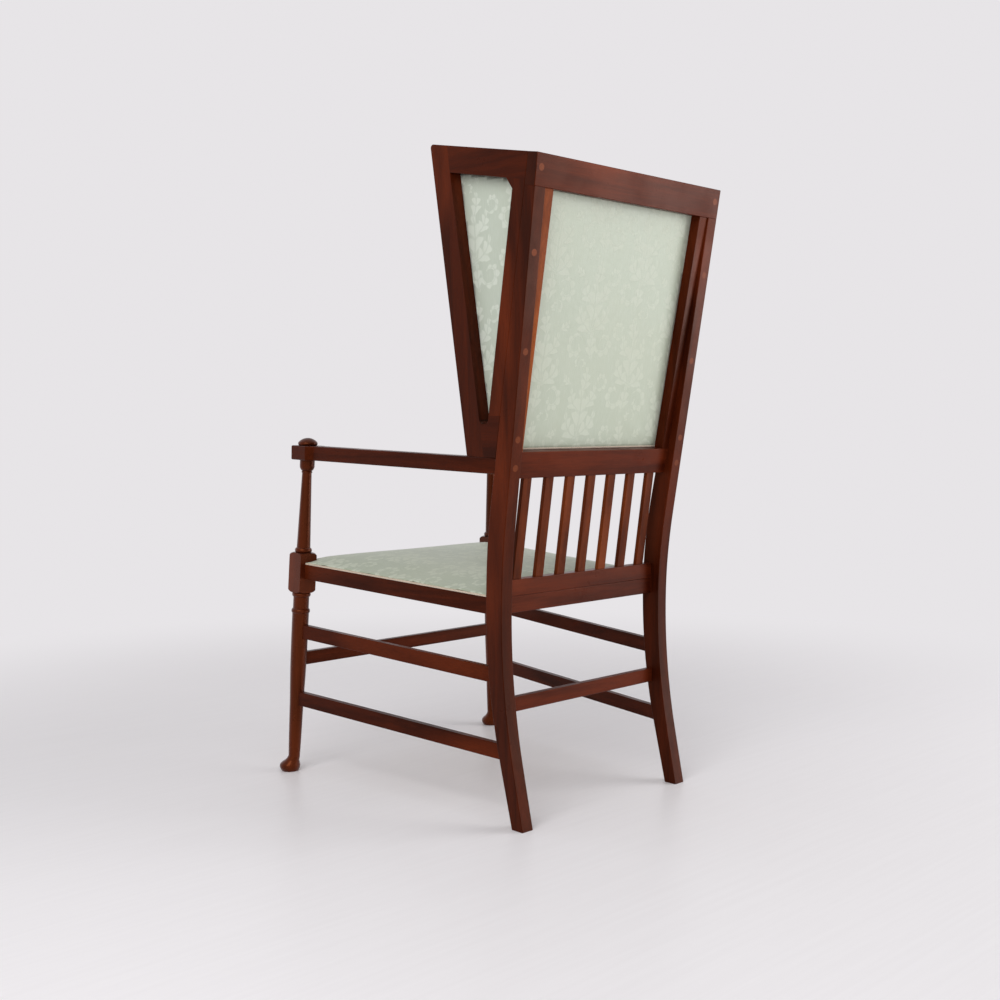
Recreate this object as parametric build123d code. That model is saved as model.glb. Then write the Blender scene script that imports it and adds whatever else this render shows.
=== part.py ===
from build123d import *
import os
from math import asin, atan, atan2, cos, degrees, sin, sqrt, tan

# A high-backed armchair with winged sides, in mahogany, with an upholstered seat and back.
# Millimetres, +Z up, the sitter faces -Y. While the pieces are made, y = 0 is the front of
# the rear posts at the seat; they are moved at the end so that the origin lies on the floor
# under the middle of the chair.

# Rear posts: leg and back post in one piece, sabre-curved below the seat and raked above it
post_width = 26.2
post_half_spread_floor = 224.9
post_half_spread_seat = 229.3
post_half_spread_top = 252.6
splay_level = 420
splay_bend_radius = 3000
crest_top_level = 1150
post_back_foot = 87
post_back_knee = 19.3
post_back_knee_level = 315
post_back_top = 147.5
post_back_radius = 1180
post_front_foot = 60.4
post_front_knee = -25
post_front_knee_level = 335
post_front_top = 125.1
post_front_radius = 1070
eased_edge = 1.2

# Panel frame of the back, between the posts
panel_datum_level = 650
panel_thickness = 21
mid_rail_height = 47.6
mid_rail_top = 8.6
panel_height = 448.7
stile_width_bottom = 17.1
stile_width_top = 22.7

# Wings
wing_bottom_reach = 73.5
wing_peak_level = 1202.8
wing_peak_reach = 244
wing_front_stile_width = 43
wing_top_rail_height = 46
wing_rear_stile_width = 28
wing_block_height = 57.5
wing_block_joint = 14
wing_slot_radius = 8.5
wing_corner_chamfer = 17
wing_peak_radius = 6
wing_tenon_length = 24
wing_tenon_thickness = 9
wing_fall_share = 0.93

# Front legs, one turning each from the pad foot to the top of the arm
foot_spread_width = 280
foot_front_length = 511.8
leg_lean_inward = 24.2
leg_lean_backward = 20.5
arm_centre_level = 645
block_side = 39
block_bottom = 363.5
block_height = 81
block_shoulder = 10.5
block_shoulder_radius = 17.5
block_corner_share = 0.75
ankle_radius = 11.4
ankle_level = 31
shaft_radius = 16.8
ring_radius = 18.7
ring_height = 10
neck_radius = 15.9
neck_height = 23
bead_radius = 17.1
bead_height = 11
column_base_radius = 13.7
column_top_radius = 9.6
collar_radius = 10.9
collar_height = 4
cup_radius = 14.9
cup_height = 22
cup_bulge_share = 0.72
cup_rise_share = 0.2
pad_foot_radius = 20.5
pad_foot_height = 20
toe_forward = 9
toe_outward = 3
leg_pin_radius = 8
leg_pin_cover = 4

# Arms and the turned buttons on them
arm_thickness = 28.5
arm_fall = 14.7
arm_width_front = 30
arm_width_rear = 26
paddle_side = 49
paddle_corner_radius = 4
paddle_shoulder = 12
arm_eased_edge = 2.5
button_radius = 19.6
button_base_radius = 17
button_height = 15.5
button_pin_radius = 4
button_pin_length = 15
button_rim_share = 0.4

# Seat rails
seat_rail_thickness = 20
seat_rail_height = 29.5
seat_rail_front_level = 407.2
seat_rail_rear_level = 383.3
rear_rail_ledge = 14
tenon_thickness = 8
tenon_shoulder = 4
tenon_stop = 7
rear_tenon_length = 7

# Slats and stretchers
slat_count = 7
slat_spacing = 56.6
slat_width = 21
slat_thickness = 8
slat_setback = 1.5
slat_tenon = 9
stretcher_thickness = 13
side_stretcher_height = 27.5
cross_stretcher_height = 26
stretcher_shoulder = 3
stretcher_tenon_thickness = 8
upper_stretcher_front_level = 285.5
upper_stretcher_rear_level = 261.4
lower_stretcher_front_level = 149.7
lower_stretcher_rear_level = 128.6
front_stretcher_level = 228.1
rear_stretcher_level = 206.4

# Screws through the posts, hidden under wooden plugs
plug_radius = 6
plug_depth = 6
screw_head_radius = 4.5
screw_head_height = 3
screw_radius = 2.2
screw_bite = 20
arm_screw_level = 627
wing_screw_low_level = 676
wing_screw_middle_level = 825
wing_screw_high_level = 989
crest_screw_drop = 23
corner_block_leg = 62
corner_block_height = 24
corner_block_drop = 3

# Upholstery
cover_thickness = 1.2
cover_clearance = 0.3
cover_inset = 2.6
seat_crown = 30
webbing_width = 50
webbing_thickness = 1.5
webbing_lap = 13
webbing_rows = 4
webbing_columns = 4
hessian_thickness = 1
hessian_inset = 4.5
gimp_thickness = 2.2
gimp_height = 4
back_lap = 12
back_crown = 24
wing_lap = 9
wing_crown = 13
wing_pad_draw = 22
cloth_thickness = 1.2

# A length that carries every cutter well past what it cuts
overrun = 400


def corner_curve(foot, knee, knee_level, top, radius, level):
    """Forward or backward place of a post's edge at a level: two lines joined by an arc."""
    low = atan2(knee - foot, knee_level)
    high = atan2(top - knee, crest_top_level - knee_level)
    reach = radius * tan((high - low) / 2)
    if level <= knee_level - reach * cos(low):
        return foot + level * tan(low)
    if level >= knee_level + reach * cos(high):
        return knee + (level - knee_level) * tan(high)
    start_y = knee - reach * sin(low)
    start_z = knee_level - reach * cos(low)
    centre_y = start_y + radius * cos(low)
    centre_z = start_z - radius * sin(low)
    return centre_y - sqrt(radius * radius - (level - centre_z) ** 2)


def post_front(level):
    return corner_curve(post_front_foot, post_front_knee, post_front_knee_level,
                        post_front_top, post_front_radius, level)


def post_back(level):
    return corner_curve(post_back_foot, post_back_knee, post_back_knee_level,
                        post_back_top, post_back_radius, level)


def post_outer(level):
    """Half of the chair's width over the posts at a level."""
    if level < splay_level:
        share = level / splay_level
        return post_half_spread_floor + share * (post_half_spread_seat - post_half_spread_floor)
    share = (level - splay_level) / (crest_top_level - splay_level)
    return post_half_spread_seat + share * (post_half_spread_top - post_half_spread_seat)


def post_centre(level):
    x = post_outer(level) - post_width / 2
    y = (post_front(level) + post_back(level)) / 2
    return (x, y, level)


def leg_axis(level):
    share = level / arm_centre_level
    x = foot_spread_width - share * leg_lean_inward
    y = -foot_front_length + share * leg_lean_backward
    return (x, y, level)


def mirrored(shape):
    return mirror(shape, about=Plane.YZ)


def opposite(point):
    return (-point[0], point[1], point[2])


def ease(shape, radius, shortest):
    """Round the long edges of a piece lightly, as worn and waxed edges are."""
    return fillet([edge for edge in shape.edges() if edge.length > shortest], radius)


def bar(start, end, wide, high, across, rounding):
    """A straight bar between two points; across is the direction of its width."""
    start = Vector(*start)
    end = Vector(*end)
    plane = Plane(origin=start, x_dir=across, z_dir=end - start)
    section = RectangleRounded(wide, high, rounding) if rounding else Rectangle(wide, high)
    return extrude(plane * section, amount=(end - start).length)


def toward(start, end, distance):
    """The point that lies a distance from start on the way to end."""
    start = Vector(*start)
    step = (Vector(*end) - start).normalized() * distance
    return tuple(start + step)


def jointed_rail(start, end, wide, high, across, hosts, shoulder, tenon_wide, stops):
    """A rail between two posts or legs, shouldered against them, and the tenon it is held by."""
    body = bar(start, end, wide, high, across, eased_edge)
    for host in hosts:
        body = body - host
    tenon_start = toward(start, end, stops[0])
    tenon_end = toward(end, start, stops[1])
    tenon = bar(tenon_start, tenon_end, tenon_wide, high - 2 * shoulder, across, 0)
    return body + tenon, tenon


def inset_polygon(points, distances):
    """A convex outline, given anticlockwise, with each side moved inward by its own distance."""
    count = len(points)
    moved = []
    for i in range(count):
        a = Vector(*points[i])
        b = Vector(*points[(i + 1) % count])
        along = (b - a).normalized()
        inward = Vector(-along.Y, along.X)
        moved.append((a + inward * distances[i], along))
    corners = []
    for i in range(count):
        p, d = moved[i - 1]
        q, e = moved[i]
        cross = d.X * e.Y - d.Y * e.X
        step = ((q.X - p.X) * e.Y - (q.Y - p.Y) * e.X) / cross
        corners.append((p.X + d.X * step, p.Y + d.Y * step))
    return corners


def outline(points, radius=0):
    face = make_face(Polyline(*points, close=True))
    return fillet(face.vertices(), radius) if radius else face


def cushion(points, sections, plane, radius, rounding_share, fullness):
    """A crowned pad: lofted through its outline at each height, drawn in by each inset.

    fullness is one share for each side of the outline, of the inset that the side takes."""
    faces = []
    for height, inset in sections:
        shrunk = inset_polygon(points, [inset * share for share in fullness])
        rounding = radius + inset * rounding_share
        faces.append(plane.offset(height) * outline(shrunk, rounding))
    return loft(faces, ruled=True)


# Planes that the raked back and the splayed sides are built on
rake = atan((post_front_top - post_front_knee) / (crest_top_level - post_front_knee_level))
back_rake = atan((post_back_top - post_back_knee) / (crest_top_level - post_back_knee_level))
splay = atan((post_half_spread_top - post_half_spread_seat) / (crest_top_level - splay_level))
back_plane = Plane(origin=(0, post_front(panel_datum_level), panel_datum_level),
                   x_dir=(1, 0, 0), z_dir=(0, -cos(rake), sin(rake)))
wing_plane = Plane(origin=(post_half_spread_seat, 0, splay_level),
                   x_dir=(0, 1, 0), z_dir=(cos(splay), 0, -sin(splay)))
wing_inner_plane = Plane(origin=tuple(wing_plane.from_local_coords(Vector(0, 0, -post_width))),
                         x_dir=(0, -1, 0), z_dir=(-cos(splay), 0, sin(splay)))
crest_bottom = mid_rail_top + panel_height


def side_silhouette():
    """Side view of a post and the crest over it, up to the top of the chair's back."""
    top = crest_top_level + overrun
    front_top = (post_front(top), top)
    back_top = (post_back(top), top)
    front = FilletPolyline((post_front_foot, 0), (post_front_knee, post_front_knee_level),
                           front_top, radius=post_front_radius)
    back = FilletPolyline(back_top, (post_back_knee, post_back_knee_level),
                          (post_back_foot, 0), radius=post_back_radius)
    edges = front.edges() + [Line(front_top, back_top).edge()]
    edges = edges + back.edges() + [Line((post_back_foot, 0), (post_front_foot, 0)).edge()]
    return Plane.YZ * make_face(edges)


def post_front_view():
    """Front view of the left post, upright to the seat and splayed above it."""
    top = crest_top_level + overrun
    outer = [(post_half_spread_floor, 0), (post_half_spread_seat, splay_level),
             (post_outer(top), top)]
    inner = [(x - post_width, z) for x, z in reversed(outer)]
    outside = FilletPolyline(*outer, radius=splay_bend_radius)
    inside = FilletPolyline(*inner, radius=splay_bend_radius)
    edges = outside.edges() + [Line(outer[-1], inner[0]).edge()]
    edges = edges + inside.edges() + [Line(inner[-1], outer[0]).edge()]
    return Plane.XZ * make_face(edges)


def above_crest_line():
    """Everything above the crest's underside, which is square to the raked back."""
    size = 4 * overrun
    return back_plane * Pos(0, crest_bottom + size / 2, 0) * Box(size, size, size)


def make_posts():
    side = extrude(side_silhouette(), amount=overrun)
    front = extrude(post_front_view(), amount=overrun, both=True)
    post = (side & front) - above_crest_line()
    return ease(post, eased_edge, 2 * post_width)


def make_crest():
    """The board over both post tops, its ends following the splay of the posts."""
    side = extrude(side_silhouette(), amount=overrun, both=True)
    top_edge = crest_bottom + crest_height()
    size = 4 * overrun
    slab = back_plane * Pos(0, (crest_bottom + top_edge) / 2, 0)
    slab = slab * Box(size, top_edge - crest_bottom, size)
    board = side & slab
    outer_high = post_outer(crest_top_level + overrun)
    bounds = Polyline((-post_half_spread_seat, splay_level), (post_half_spread_seat, splay_level),
                      (outer_high, crest_top_level + overrun),
                      (-outer_high, crest_top_level + overrun), close=True)
    board = board & extrude(Plane.XZ * make_face(bounds), amount=overrun, both=True)
    return ease(board, eased_edge, post_width / 2)


def crest_height():
    """Height of the crest along the raked back, up to the chair's stated top at its rear."""
    rear_depth = post_back(crest_top_level) - post_front(crest_top_level)
    above_datum = crest_top_level - panel_datum_level + rear_depth * sin(rake) * cos(rake)
    return above_datum / cos(rake) - crest_bottom


def panel_board(points, thickness):
    return extrude(back_plane * outline(points), amount=-thickness)


def between_posts(height):
    """Half the room between the posts at a height along the raked back."""
    return post_outer(panel_datum_level + height * cos(rake)) - post_width


def panel_opening():
    low = between_posts(mid_rail_top) - stile_width_bottom
    high = between_posts(crest_bottom) - stile_width_top
    return [(-low, mid_rail_top), (low, mid_rail_top), (high, crest_bottom), (-high, crest_bottom)]


def make_mid_rail(posts):
    low = mid_rail_top - mid_rail_height
    low_half = between_posts(low)
    high_half = between_posts(mid_rail_top)
    rail = panel_board([(-low_half, low), (low_half, low), (high_half, mid_rail_top),
                        (-high_half, mid_rail_top)], panel_thickness)
    rail = ease(rail, eased_edge, low_half)
    for post in posts:
        rail = rail - post
    centre = (low + mid_rail_top) / 2
    level = panel_datum_level + centre * cos(rake)
    end = post_outer(level) - post_width + rear_tenon_length
    rise = mid_rail_height - 4 * tenon_shoulder
    tenon = back_plane * Pos(0, centre, -panel_thickness / 2) * Box(2 * end, rise, tenon_thickness)
    return rail + tenon, tenon


def make_stile(post):
    corners = panel_opening()
    outer = [(between_posts(mid_rail_top), mid_rail_top), (between_posts(crest_bottom), crest_bottom)]
    return panel_board([corners[1]] + outer + [corners[2]], panel_thickness) - post


def wing_outline(drop):
    """The wing's outline on its plane: rearward places and heights, anticlockwise.

    It stands on the arm's top, or goes below that by a drop."""
    scale = 1 / cos(splay)
    arm_top = arm_centre_level + arm_thickness / 2 - arm_fall * wing_fall_share
    rear_level = crest_front_level()
    front_high = post_front(rear_level) - wing_peak_reach
    front_low = post_front(arm_top) - wing_bottom_reach
    lean = (front_high - front_low) / (wing_peak_level - arm_top)
    low = arm_top - drop
    return [(post_front(low), (low - splay_level) * scale),
            (post_front(rear_level), (rear_level - splay_level) * scale),
            (front_high, (wing_peak_level - splay_level) * scale),
            (front_low - lean * drop, (low - splay_level) * scale)]


def crest_front_level():
    return panel_datum_level + (crest_bottom + crest_height()) * cos(rake)


def wing_opening(points):
    """Opening in the wing: rear, top, front and bottom sides moved in by the frame's widths."""
    widths = [wing_rear_stile_width, wing_top_rail_height,
              wing_front_stile_width, wing_block_height]
    return inset_polygon(points, widths)


def opening_face(points, growth):
    """The wing's opening with its rounded foot and its one clipped corner."""
    corners = inset_polygon(points, [-growth] * 4)
    face = outline(corners)
    feet = sorted(face.vertices(), key=lambda vertex: vertex.Y)[:2]
    face = fillet(feet, wing_slot_radius + growth)
    top_rear = max(face.vertices(), key=lambda vertex: vertex.X + vertex.Y / 4)
    return chamfer(top_rear, wing_corner_chamfer + growth / 2)


def half_plane(a, b):
    """A large face that lies to the left of the line from a to b."""
    a = Vector(*a)
    b = Vector(*b)
    along = (b - a).normalized()
    left = Vector(-along.Y, along.X)
    far = 4 * overrun
    corners = [a - along * far, b + along * far,
               b + along * far + left * far, a - along * far + left * far]
    return make_face(Polyline(*[(c.X, c.Y) for c in corners], close=True))


def on_wing(face):
    return extrude(wing_plane * face, amount=-post_width)


def tenon_block(point, along, rise):
    """A short tenon of the wing, centred in its thickness and lying along a direction."""
    angle = degrees(atan2(along[1], along[0]))
    place = wing_plane * Pos(point[0], point[1], -post_width / 2) * Rot(0, 0, angle)
    return place * Box(2 * wing_tenon_length, rise, wing_tenon_thickness)


def make_wing():
    """Four pieces of a wing's frame, cut from one eased board along its joint lines."""
    points = wing_outline(0)
    hole = wing_opening(points)
    board = outline(wing_outline(arm_thickness / 2))
    peak = min(board.vertices(), key=lambda vertex: vertex.X - vertex.Y)
    board = fillet(peak, wing_peak_radius)
    solid = ease(on_wing(board), eased_edge, wing_peak_radius)
    size = 4 * overrun
    under_arm_top = arm_top_plane() * Pos(0, 0, -size / 2) * Box(size, size, size)
    solid = in_front_of_back(solid - on_wing(opening_face(hole, 0)) - under_arm_top)
    block_line = hole[0][1] + wing_block_joint
    front_side = on_wing(half_plane(hole[2], hole[3]))
    above = on_wing(half_plane(hole[1], hole[2]))
    below = on_wing(half_plane((hole[0][0] + overrun, block_line), (hole[0][0], block_line)))
    front_stile = solid - front_side
    rest = solid & front_side
    top_rail = rest - above
    rest = rest & above
    bottom_block = rest & below
    rear_stile = rest - below
    top_along = (points[1][0] - points[2][0], points[1][1] - points[2][1])
    upper = tenon_block(middle_of(hole[2], points[2]), top_along, wing_top_rail_height / 2)
    lower = tenon_block(middle_of(hole[3], points[3]), (1, 0), wing_block_height / 2)
    upper = upper & (front_stile + top_rail)
    lower = lower & (front_stile + bottom_block)
    front_stile = front_stile - upper - lower
    return {"wing_front_stile": front_stile, "wing_top_rail": top_rail + upper,
            "wing_rear_stile": rear_stile, "wing_bottom_block": bottom_block + lower}


def middle_of(a, b):
    return ((a[0] + b[0]) / 2, (a[1] + b[1]) / 2)


def leg_plane():
    foot = Vector(*leg_axis(0))
    head = Vector(*leg_axis(arm_centre_level))
    return Plane(origin=foot, x_dir=(1, 0, 0), z_dir=head - foot)


def shaft_profile():
    """Half section of the leg below the block: swelling shaft, two rings and a short neck."""
    ring_two_top = block_bottom + eased_edge
    ring_two_low = ring_two_top - ring_height
    ring_one_top = ring_two_low - neck_height
    ring_one_low = ring_one_top - ring_height
    rise_shares = [0.18, 0.4, 0.6, 0.82]
    swell_shares = [0.26, 0.5, 0.82, 0.96]
    rise = ring_one_low - ankle_level
    swell = shaft_radius - ankle_radius
    between = [(ankle_radius + swell * swell_share, ankle_level + rise * rise_share)
               for rise_share, swell_share in zip(rise_shares, swell_shares)]
    shaft = Spline((ankle_radius, ankle_level), *between, (shaft_radius, ring_one_low))
    ring_one = ThreePointArc((shaft_radius, ring_one_low),
                             (ring_radius, (ring_one_low + ring_one_top) / 2),
                             (neck_radius, ring_one_top))
    neck = Line((neck_radius, ring_one_top), (neck_radius, ring_two_low))
    ring_two = ThreePointArc((neck_radius, ring_two_low),
                             (ring_radius, (ring_two_low + ring_two_top) / 2),
                             (neck_radius, ring_two_top))
    closing = Polyline((neck_radius, ring_two_top), (0, ring_two_top), (0, ankle_level),
                       (ankle_radius, ankle_level))
    return shaft + ring_one + neck + ring_two + closing


def column_profile():
    """Half section above the block: bead, tapering column, collar, cup and the pin in the arm."""
    low = block_bottom + block_height - eased_edge
    bead_top = low + bead_height
    cup_top = arm_centre_level
    cup_low = arm_underside() - cup_height
    collar_low = cup_low - collar_height
    bead = ThreePointArc((column_base_radius, low), (bead_radius, low + bead_height / 2),
                         (column_base_radius, bead_top))
    column = Line((column_base_radius, bead_top), (column_top_radius, collar_low))
    collar = ThreePointArc((column_top_radius, collar_low),
                           (collar_radius, cup_low - collar_height / 2),
                           (column_top_radius, cup_low))
    bulge = (column_top_radius + (cup_radius - column_top_radius) * cup_bulge_share,
             cup_low + cup_height * cup_rise_share)
    cup = ThreePointArc((column_top_radius, cup_low), bulge,
                        (cup_radius, cup_low + cup_height / 2))
    closing = Polyline((cup_radius, cup_low + cup_height / 2), (cup_radius, cup_top),
                       (0, cup_top), (0, low), (column_base_radius, low))
    return bead + column + collar + cup + closing


def arm_underside():
    return arm_centre_level - arm_thickness / 2


def block_profile():
    """Half section of a solid of revolution that turns the square block's shoulders."""
    reach = block_side * block_corner_share
    top = block_bottom + block_height
    waist = (block_shoulder_radius + reach) / 2 + block_shoulder / 4
    low_arc = ThreePointArc((block_shoulder_radius, block_bottom),
                            (waist, block_bottom + block_shoulder / 3),
                            (reach, block_bottom + block_shoulder))
    side = Line((reach, block_bottom + block_shoulder), (reach, top - block_shoulder))
    high_arc = ThreePointArc((reach, top - block_shoulder), (waist, top - block_shoulder / 3),
                             (block_shoulder_radius, top))
    closing = Polyline((block_shoulder_radius, top), (0, top), (0, block_bottom),
                       (block_shoulder_radius, block_bottom))
    return low_arc + side + high_arc + closing


def turned(profile):
    return revolve(Plane.XZ * make_face(profile.edges()), axis=Axis.Z)


def pad_foot():
    """The pad foot, swelling forward under the ankle, through circles of its sizes."""
    level_shares = [-0.15, 0.2, 0.5, 0.85, 1.2]
    radius_shares = [0.70, 0.94, 1.0, 0.85, 0.64]
    toe_shares = [1.0, 1.0, 1.0, 0.75, 0.3]
    faces = []
    for level, size, toe in zip(level_shares, radius_shares, toe_shares):
        place = Pos(toe_outward * toe, -toe_forward * toe, pad_foot_height * level)
        faces.append(place * Circle(pad_foot_radius * size))
    faces.append(Pos(0, 0, ankle_level) * Circle(ankle_radius))
    return loft(faces)


def make_leg():
    """Left front leg: pad foot, shaft, block and column, turned in one and leaning slightly."""
    block = Pos(0, 0, block_bottom + block_height / 2) * Box(block_side, block_side, block_height)
    block = block & turned(block_profile())
    leg = pad_foot() + turned(shaft_profile()) + block + turned(column_profile())
    pin_middle = arm_centre_level - leg_pin_cover
    pin = Pos(0, 0, pin_middle) * Cylinder(leg_pin_radius, arm_thickness)
    leg = leg_plane() * (leg - above_arm_underside() + pin)
    floor = Pos(0, 0, -overrun / 2) * Box(4 * overrun, 4 * overrun, overrun)
    return leg - floor


def above_arm_underside():
    """Room over the arm's underside, in the leg's own frame."""
    return Pos(0, 0, arm_underside() + overrun / 2) * Box(overrun, overrun, overrun)


def arm_line():
    """Centre points of the arm: on the leg's axis, and inside the rear post."""
    front = leg_axis(arm_centre_level)
    rear_level = arm_centre_level - arm_fall
    rear = (post_outer(rear_level) - post_width / 2, post_front(rear_level), rear_level)
    return front, rear


def arm_top_plane():
    """Plane of the arm's top, falling toward the back."""
    front, rear = arm_line()
    run = Vector(*rear) - Vector(*front)
    square_up = Vector(1, 0, 0).cross(run).normalized()
    middle = Plane(origin=front, x_dir=(1, 0, 0), z_dir=square_up)
    return middle.offset(arm_thickness / 2)


def in_front_of_back(shape):
    """What lies ahead of the plane of the posts' front faces."""
    size = 8 * overrun
    return shape & (back_plane * Pos(0, 0, size / 2) * Box(size, size, size))


def make_arm():
    """The arm before its joints: a square paddle drawn in to a bar that meets the post."""
    front, rear = arm_line()
    half = paddle_side / 2
    x, y = front[0], front[1]
    neck_y = y + half + paddle_shoulder
    share = (neck_y - y) / (rear[1] - y)
    neck_x = x + (rear[0] - x) * share
    outline_points = [(x - half, y - half), (x + half, y - half), (x + half, y + half),
                      (neck_x + arm_width_front / 2, neck_y),
                      (rear[0] + arm_width_rear / 2, rear[1]),
                      (rear[0] + arm_width_rear / 2, rear[1] + post_width),
                      (rear[0] - arm_width_rear / 2, rear[1] + post_width),
                      (rear[0] - arm_width_rear / 2, rear[1]),
                      (neck_x - arm_width_front / 2, neck_y), (x - half, y + half)]
    face = make_face(Polyline(*outline_points, close=True))
    front_corners = [v for v in face.vertices() if v.Y < y]
    face = fillet(front_corners, paddle_corner_radius)
    shoulders = [v for v in face.vertices() if y < v.Y < neck_y + arm_eased_edge]
    face = fillet(shoulders, arm_eased_edge)
    fall = degrees(atan2(rear[2] - front[2], rear[1] - front[1]))
    slab = extrude(Pos(-x, -y, -arm_thickness / 2) * face, amount=arm_thickness)
    slab = ease(slab, arm_eased_edge, paddle_corner_radius)
    slab = Pos(x, y, front[2]) * Rot(fall, 0, 0) * slab
    return in_front_of_back(slab)


def finish_arm(slab, leg):
    """The arm with its tenon into the post and its hole for the leg's pin."""
    front, rear = arm_line()
    depth = post_back(rear[2]) - post_front(rear[2])
    tenon_start = toward(rear, front, -depth / 2)
    tenon_end = toward(rear, front, depth)
    tenon = bar(tenon_start, tenon_end, tenon_thickness, arm_thickness - 2 * tenon_shoulder,
                (1, 0, 0), 0)
    return slab + tenon - leg, tenon


def dome(radius, low, height):
    """Arc of a sphere centred on the axis, from its rim up to the middle."""
    sphere = (radius * radius + height * height) / (2 * height)
    half_turn = asin(radius / sphere) / 2
    centre = low + height - sphere
    between = (sphere * sin(half_turn), centre + sphere * cos(half_turn))
    return ThreePointArc((radius, low), between, (0, low + height))


def make_button():
    """Turned button on the arm, with a pin that goes down into the leg's own pin."""
    low = 0
    rim = button_height * button_rim_share
    base = ThreePointArc((button_base_radius, low), (button_radius, (low + rim) / 2 + eased_edge),
                         (button_radius - eased_edge, rim + eased_edge))
    cap = dome(button_radius - eased_edge, rim + eased_edge, low + button_height - rim - eased_edge)
    closing = Polyline((0, low + button_height), (0, low - button_pin_length),
                       (button_pin_radius, low - button_pin_length), (button_pin_radius, low),
                       (button_base_radius, low))
    return arm_top_plane() * turned(base + cap + closing)


def rear_rail(level, height, thickness, ledge, posts, shoulder, tenon_wide):
    """A rail between the rear posts, its front on theirs or ahead of it by a ledge."""
    front_y = post_front(level) - ledge
    centre_y = front_y + thickness / 2
    x = post_outer(level) - post_width / 2
    stop = post_width / 2 - rear_tenon_length
    body = bar((x, centre_y, level), (-x, centre_y, level), thickness, height, (0, 1, 0),
               eased_edge)
    for post in posts:
        body = body - post
    body = max(body.solids(), key=lambda solid: solid.volume)
    inner = post_outer(level) - post_width
    limit = Box(2 * inner, 2 * overrun, 4 * crest_top_level)
    body = body & limit
    tenon_y = post_front(level) + tenon_wide
    reach = x - stop
    tenon = bar((reach, tenon_y, level), (-reach, tenon_y, level), tenon_wide,
                height - 2 * shoulder, (0, 1, 0), 0)
    return body + tenon, tenon


def seat_deck_plane():
    """Plane of the seat rails' upper edges, falling toward the back."""
    front = leg_axis(seat_rail_front_level)
    rear = post_centre(seat_rail_rear_level)
    fall = atan2(rear[2] - front[2], rear[1] - front[1])
    lift = seat_rail_height / 2 / cos(fall)
    height = rear[2] - rear[1] * tan(fall) + lift
    return Plane(origin=(0, 0, height), x_dir=(1, 0, 0), z_dir=(0, -sin(fall), cos(fall)))


def planed(rail):
    """A seat rail with its upper edge planed to the deck's slope."""
    size = 4 * overrun
    return rail - seat_deck_plane() * Pos(0, 0, size / 2) * Box(size, size, size)


def seat_outline(inset):
    """Trapezoid over the outer faces of the seat rails, moved in by an inset, anticlockwise."""
    front = leg_axis(seat_rail_front_level)
    rear = post_centre(seat_rail_rear_level)
    half = seat_rail_thickness / 2
    lean = (front[0] - rear[0]) / (rear[1] - front[1])
    front_y = front[1] - half + inset
    rear_y = post_front(seat_rail_rear_level + seat_rail_height / 2) - cover_clearance
    front_x = front[0] + half - inset - (front_y - front[1]) * lean
    rear_x = front[0] + half - inset - (rear_y - front[1]) * lean
    return [(-front_x, front_y), (front_x, front_y), (rear_x, rear_y), (-rear_x, rear_y)]


def seat_sections(skin, base):
    """Heights and insets of the seat pad, as shares of its crown, under a skin's thickness."""
    rise_shares = [0.2, 0.34, 0.51, 0.68, 0.87, 1.0]
    inset_shares = [0.0, 0.045, 0.12, 0.21, 0.34, 0.5]
    reach = post_half_spread_seat
    sections = [(base, cloth_thickness + skin)]
    for rise, inset in zip(rise_shares, inset_shares):
        sections.append((seat_crown * rise - skin, reach * inset + skin))
    return sections


def leg_notches():
    """Room round both leg blocks, which stand up through the seat's front corners."""
    half = block_side / 2 + cover_clearance
    centre = overrun / 2 - half
    room = Pos(centre, -centre, block_bottom + block_height / 2) * Box(overrun, overrun, overrun)
    notch = leg_plane() * room
    return notch + mirrored(notch)


def seat_pad(skin, base):
    fullness = [1, 1, 0.55, 1]
    pad = cushion(seat_outline(cover_inset), seat_sections(skin, base), seat_deck_plane(),
                  seat_corner_radius(), 1 / 2, fullness)
    return pad


def make_seat_cover():
    shell = seat_pad(0, 0) - seat_pad(cover_thickness, -gimp_height)
    return shell - leg_notches()


def make_stuffing():
    base = 2 * webbing_thickness + hessian_thickness
    return seat_pad(cover_thickness + cover_clearance, base) - leg_notches()


def seat_corner_radius():
    return 2 * seat_rail_thickness / 3


def make_hessian():
    deck = seat_deck_plane().offset(2 * webbing_thickness)
    corners = inset_polygon(seat_outline(cover_inset), [hessian_inset] * 4)
    sheet = extrude(deck * outline(corners, seat_corner_radius()), amount=hessian_thickness)
    return sheet - leg_notches()


def make_webbing():
    """Two crossed layers of webbing straps, each lapping onto the seat rails."""
    deck = seat_deck_plane()
    corners = inset_polygon(seat_outline(0), [seat_rail_thickness - webbing_lap] * 4)
    front_y = corners[0][1]
    rear_y = corners[2][1]
    straps = []
    pitch = 2 * corners[3][0] / (webbing_columns + 1)
    for i in range(webbing_columns):
        x = -corners[3][0] + pitch * (i + 1)
        face = Pos(x, (front_y + rear_y) / 2) * Rectangle(webbing_width, rear_y - front_y)
        straps.append(extrude(deck * face, amount=webbing_thickness))
    pitch = (rear_y - front_y) / (webbing_rows + 1)
    for i in range(webbing_rows):
        y = front_y + pitch * (i + 1) + webbing_width / 4
        share = (y - front_y) / (rear_y - front_y)
        half = corners[1][0] + (corners[2][0] - corners[1][0]) * share
        face = Pos(0, y) * Rectangle(2 * half, webbing_width)
        straps.append(extrude(deck.offset(webbing_thickness) * face, amount=webbing_thickness))
    return Compound(straps)


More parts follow.
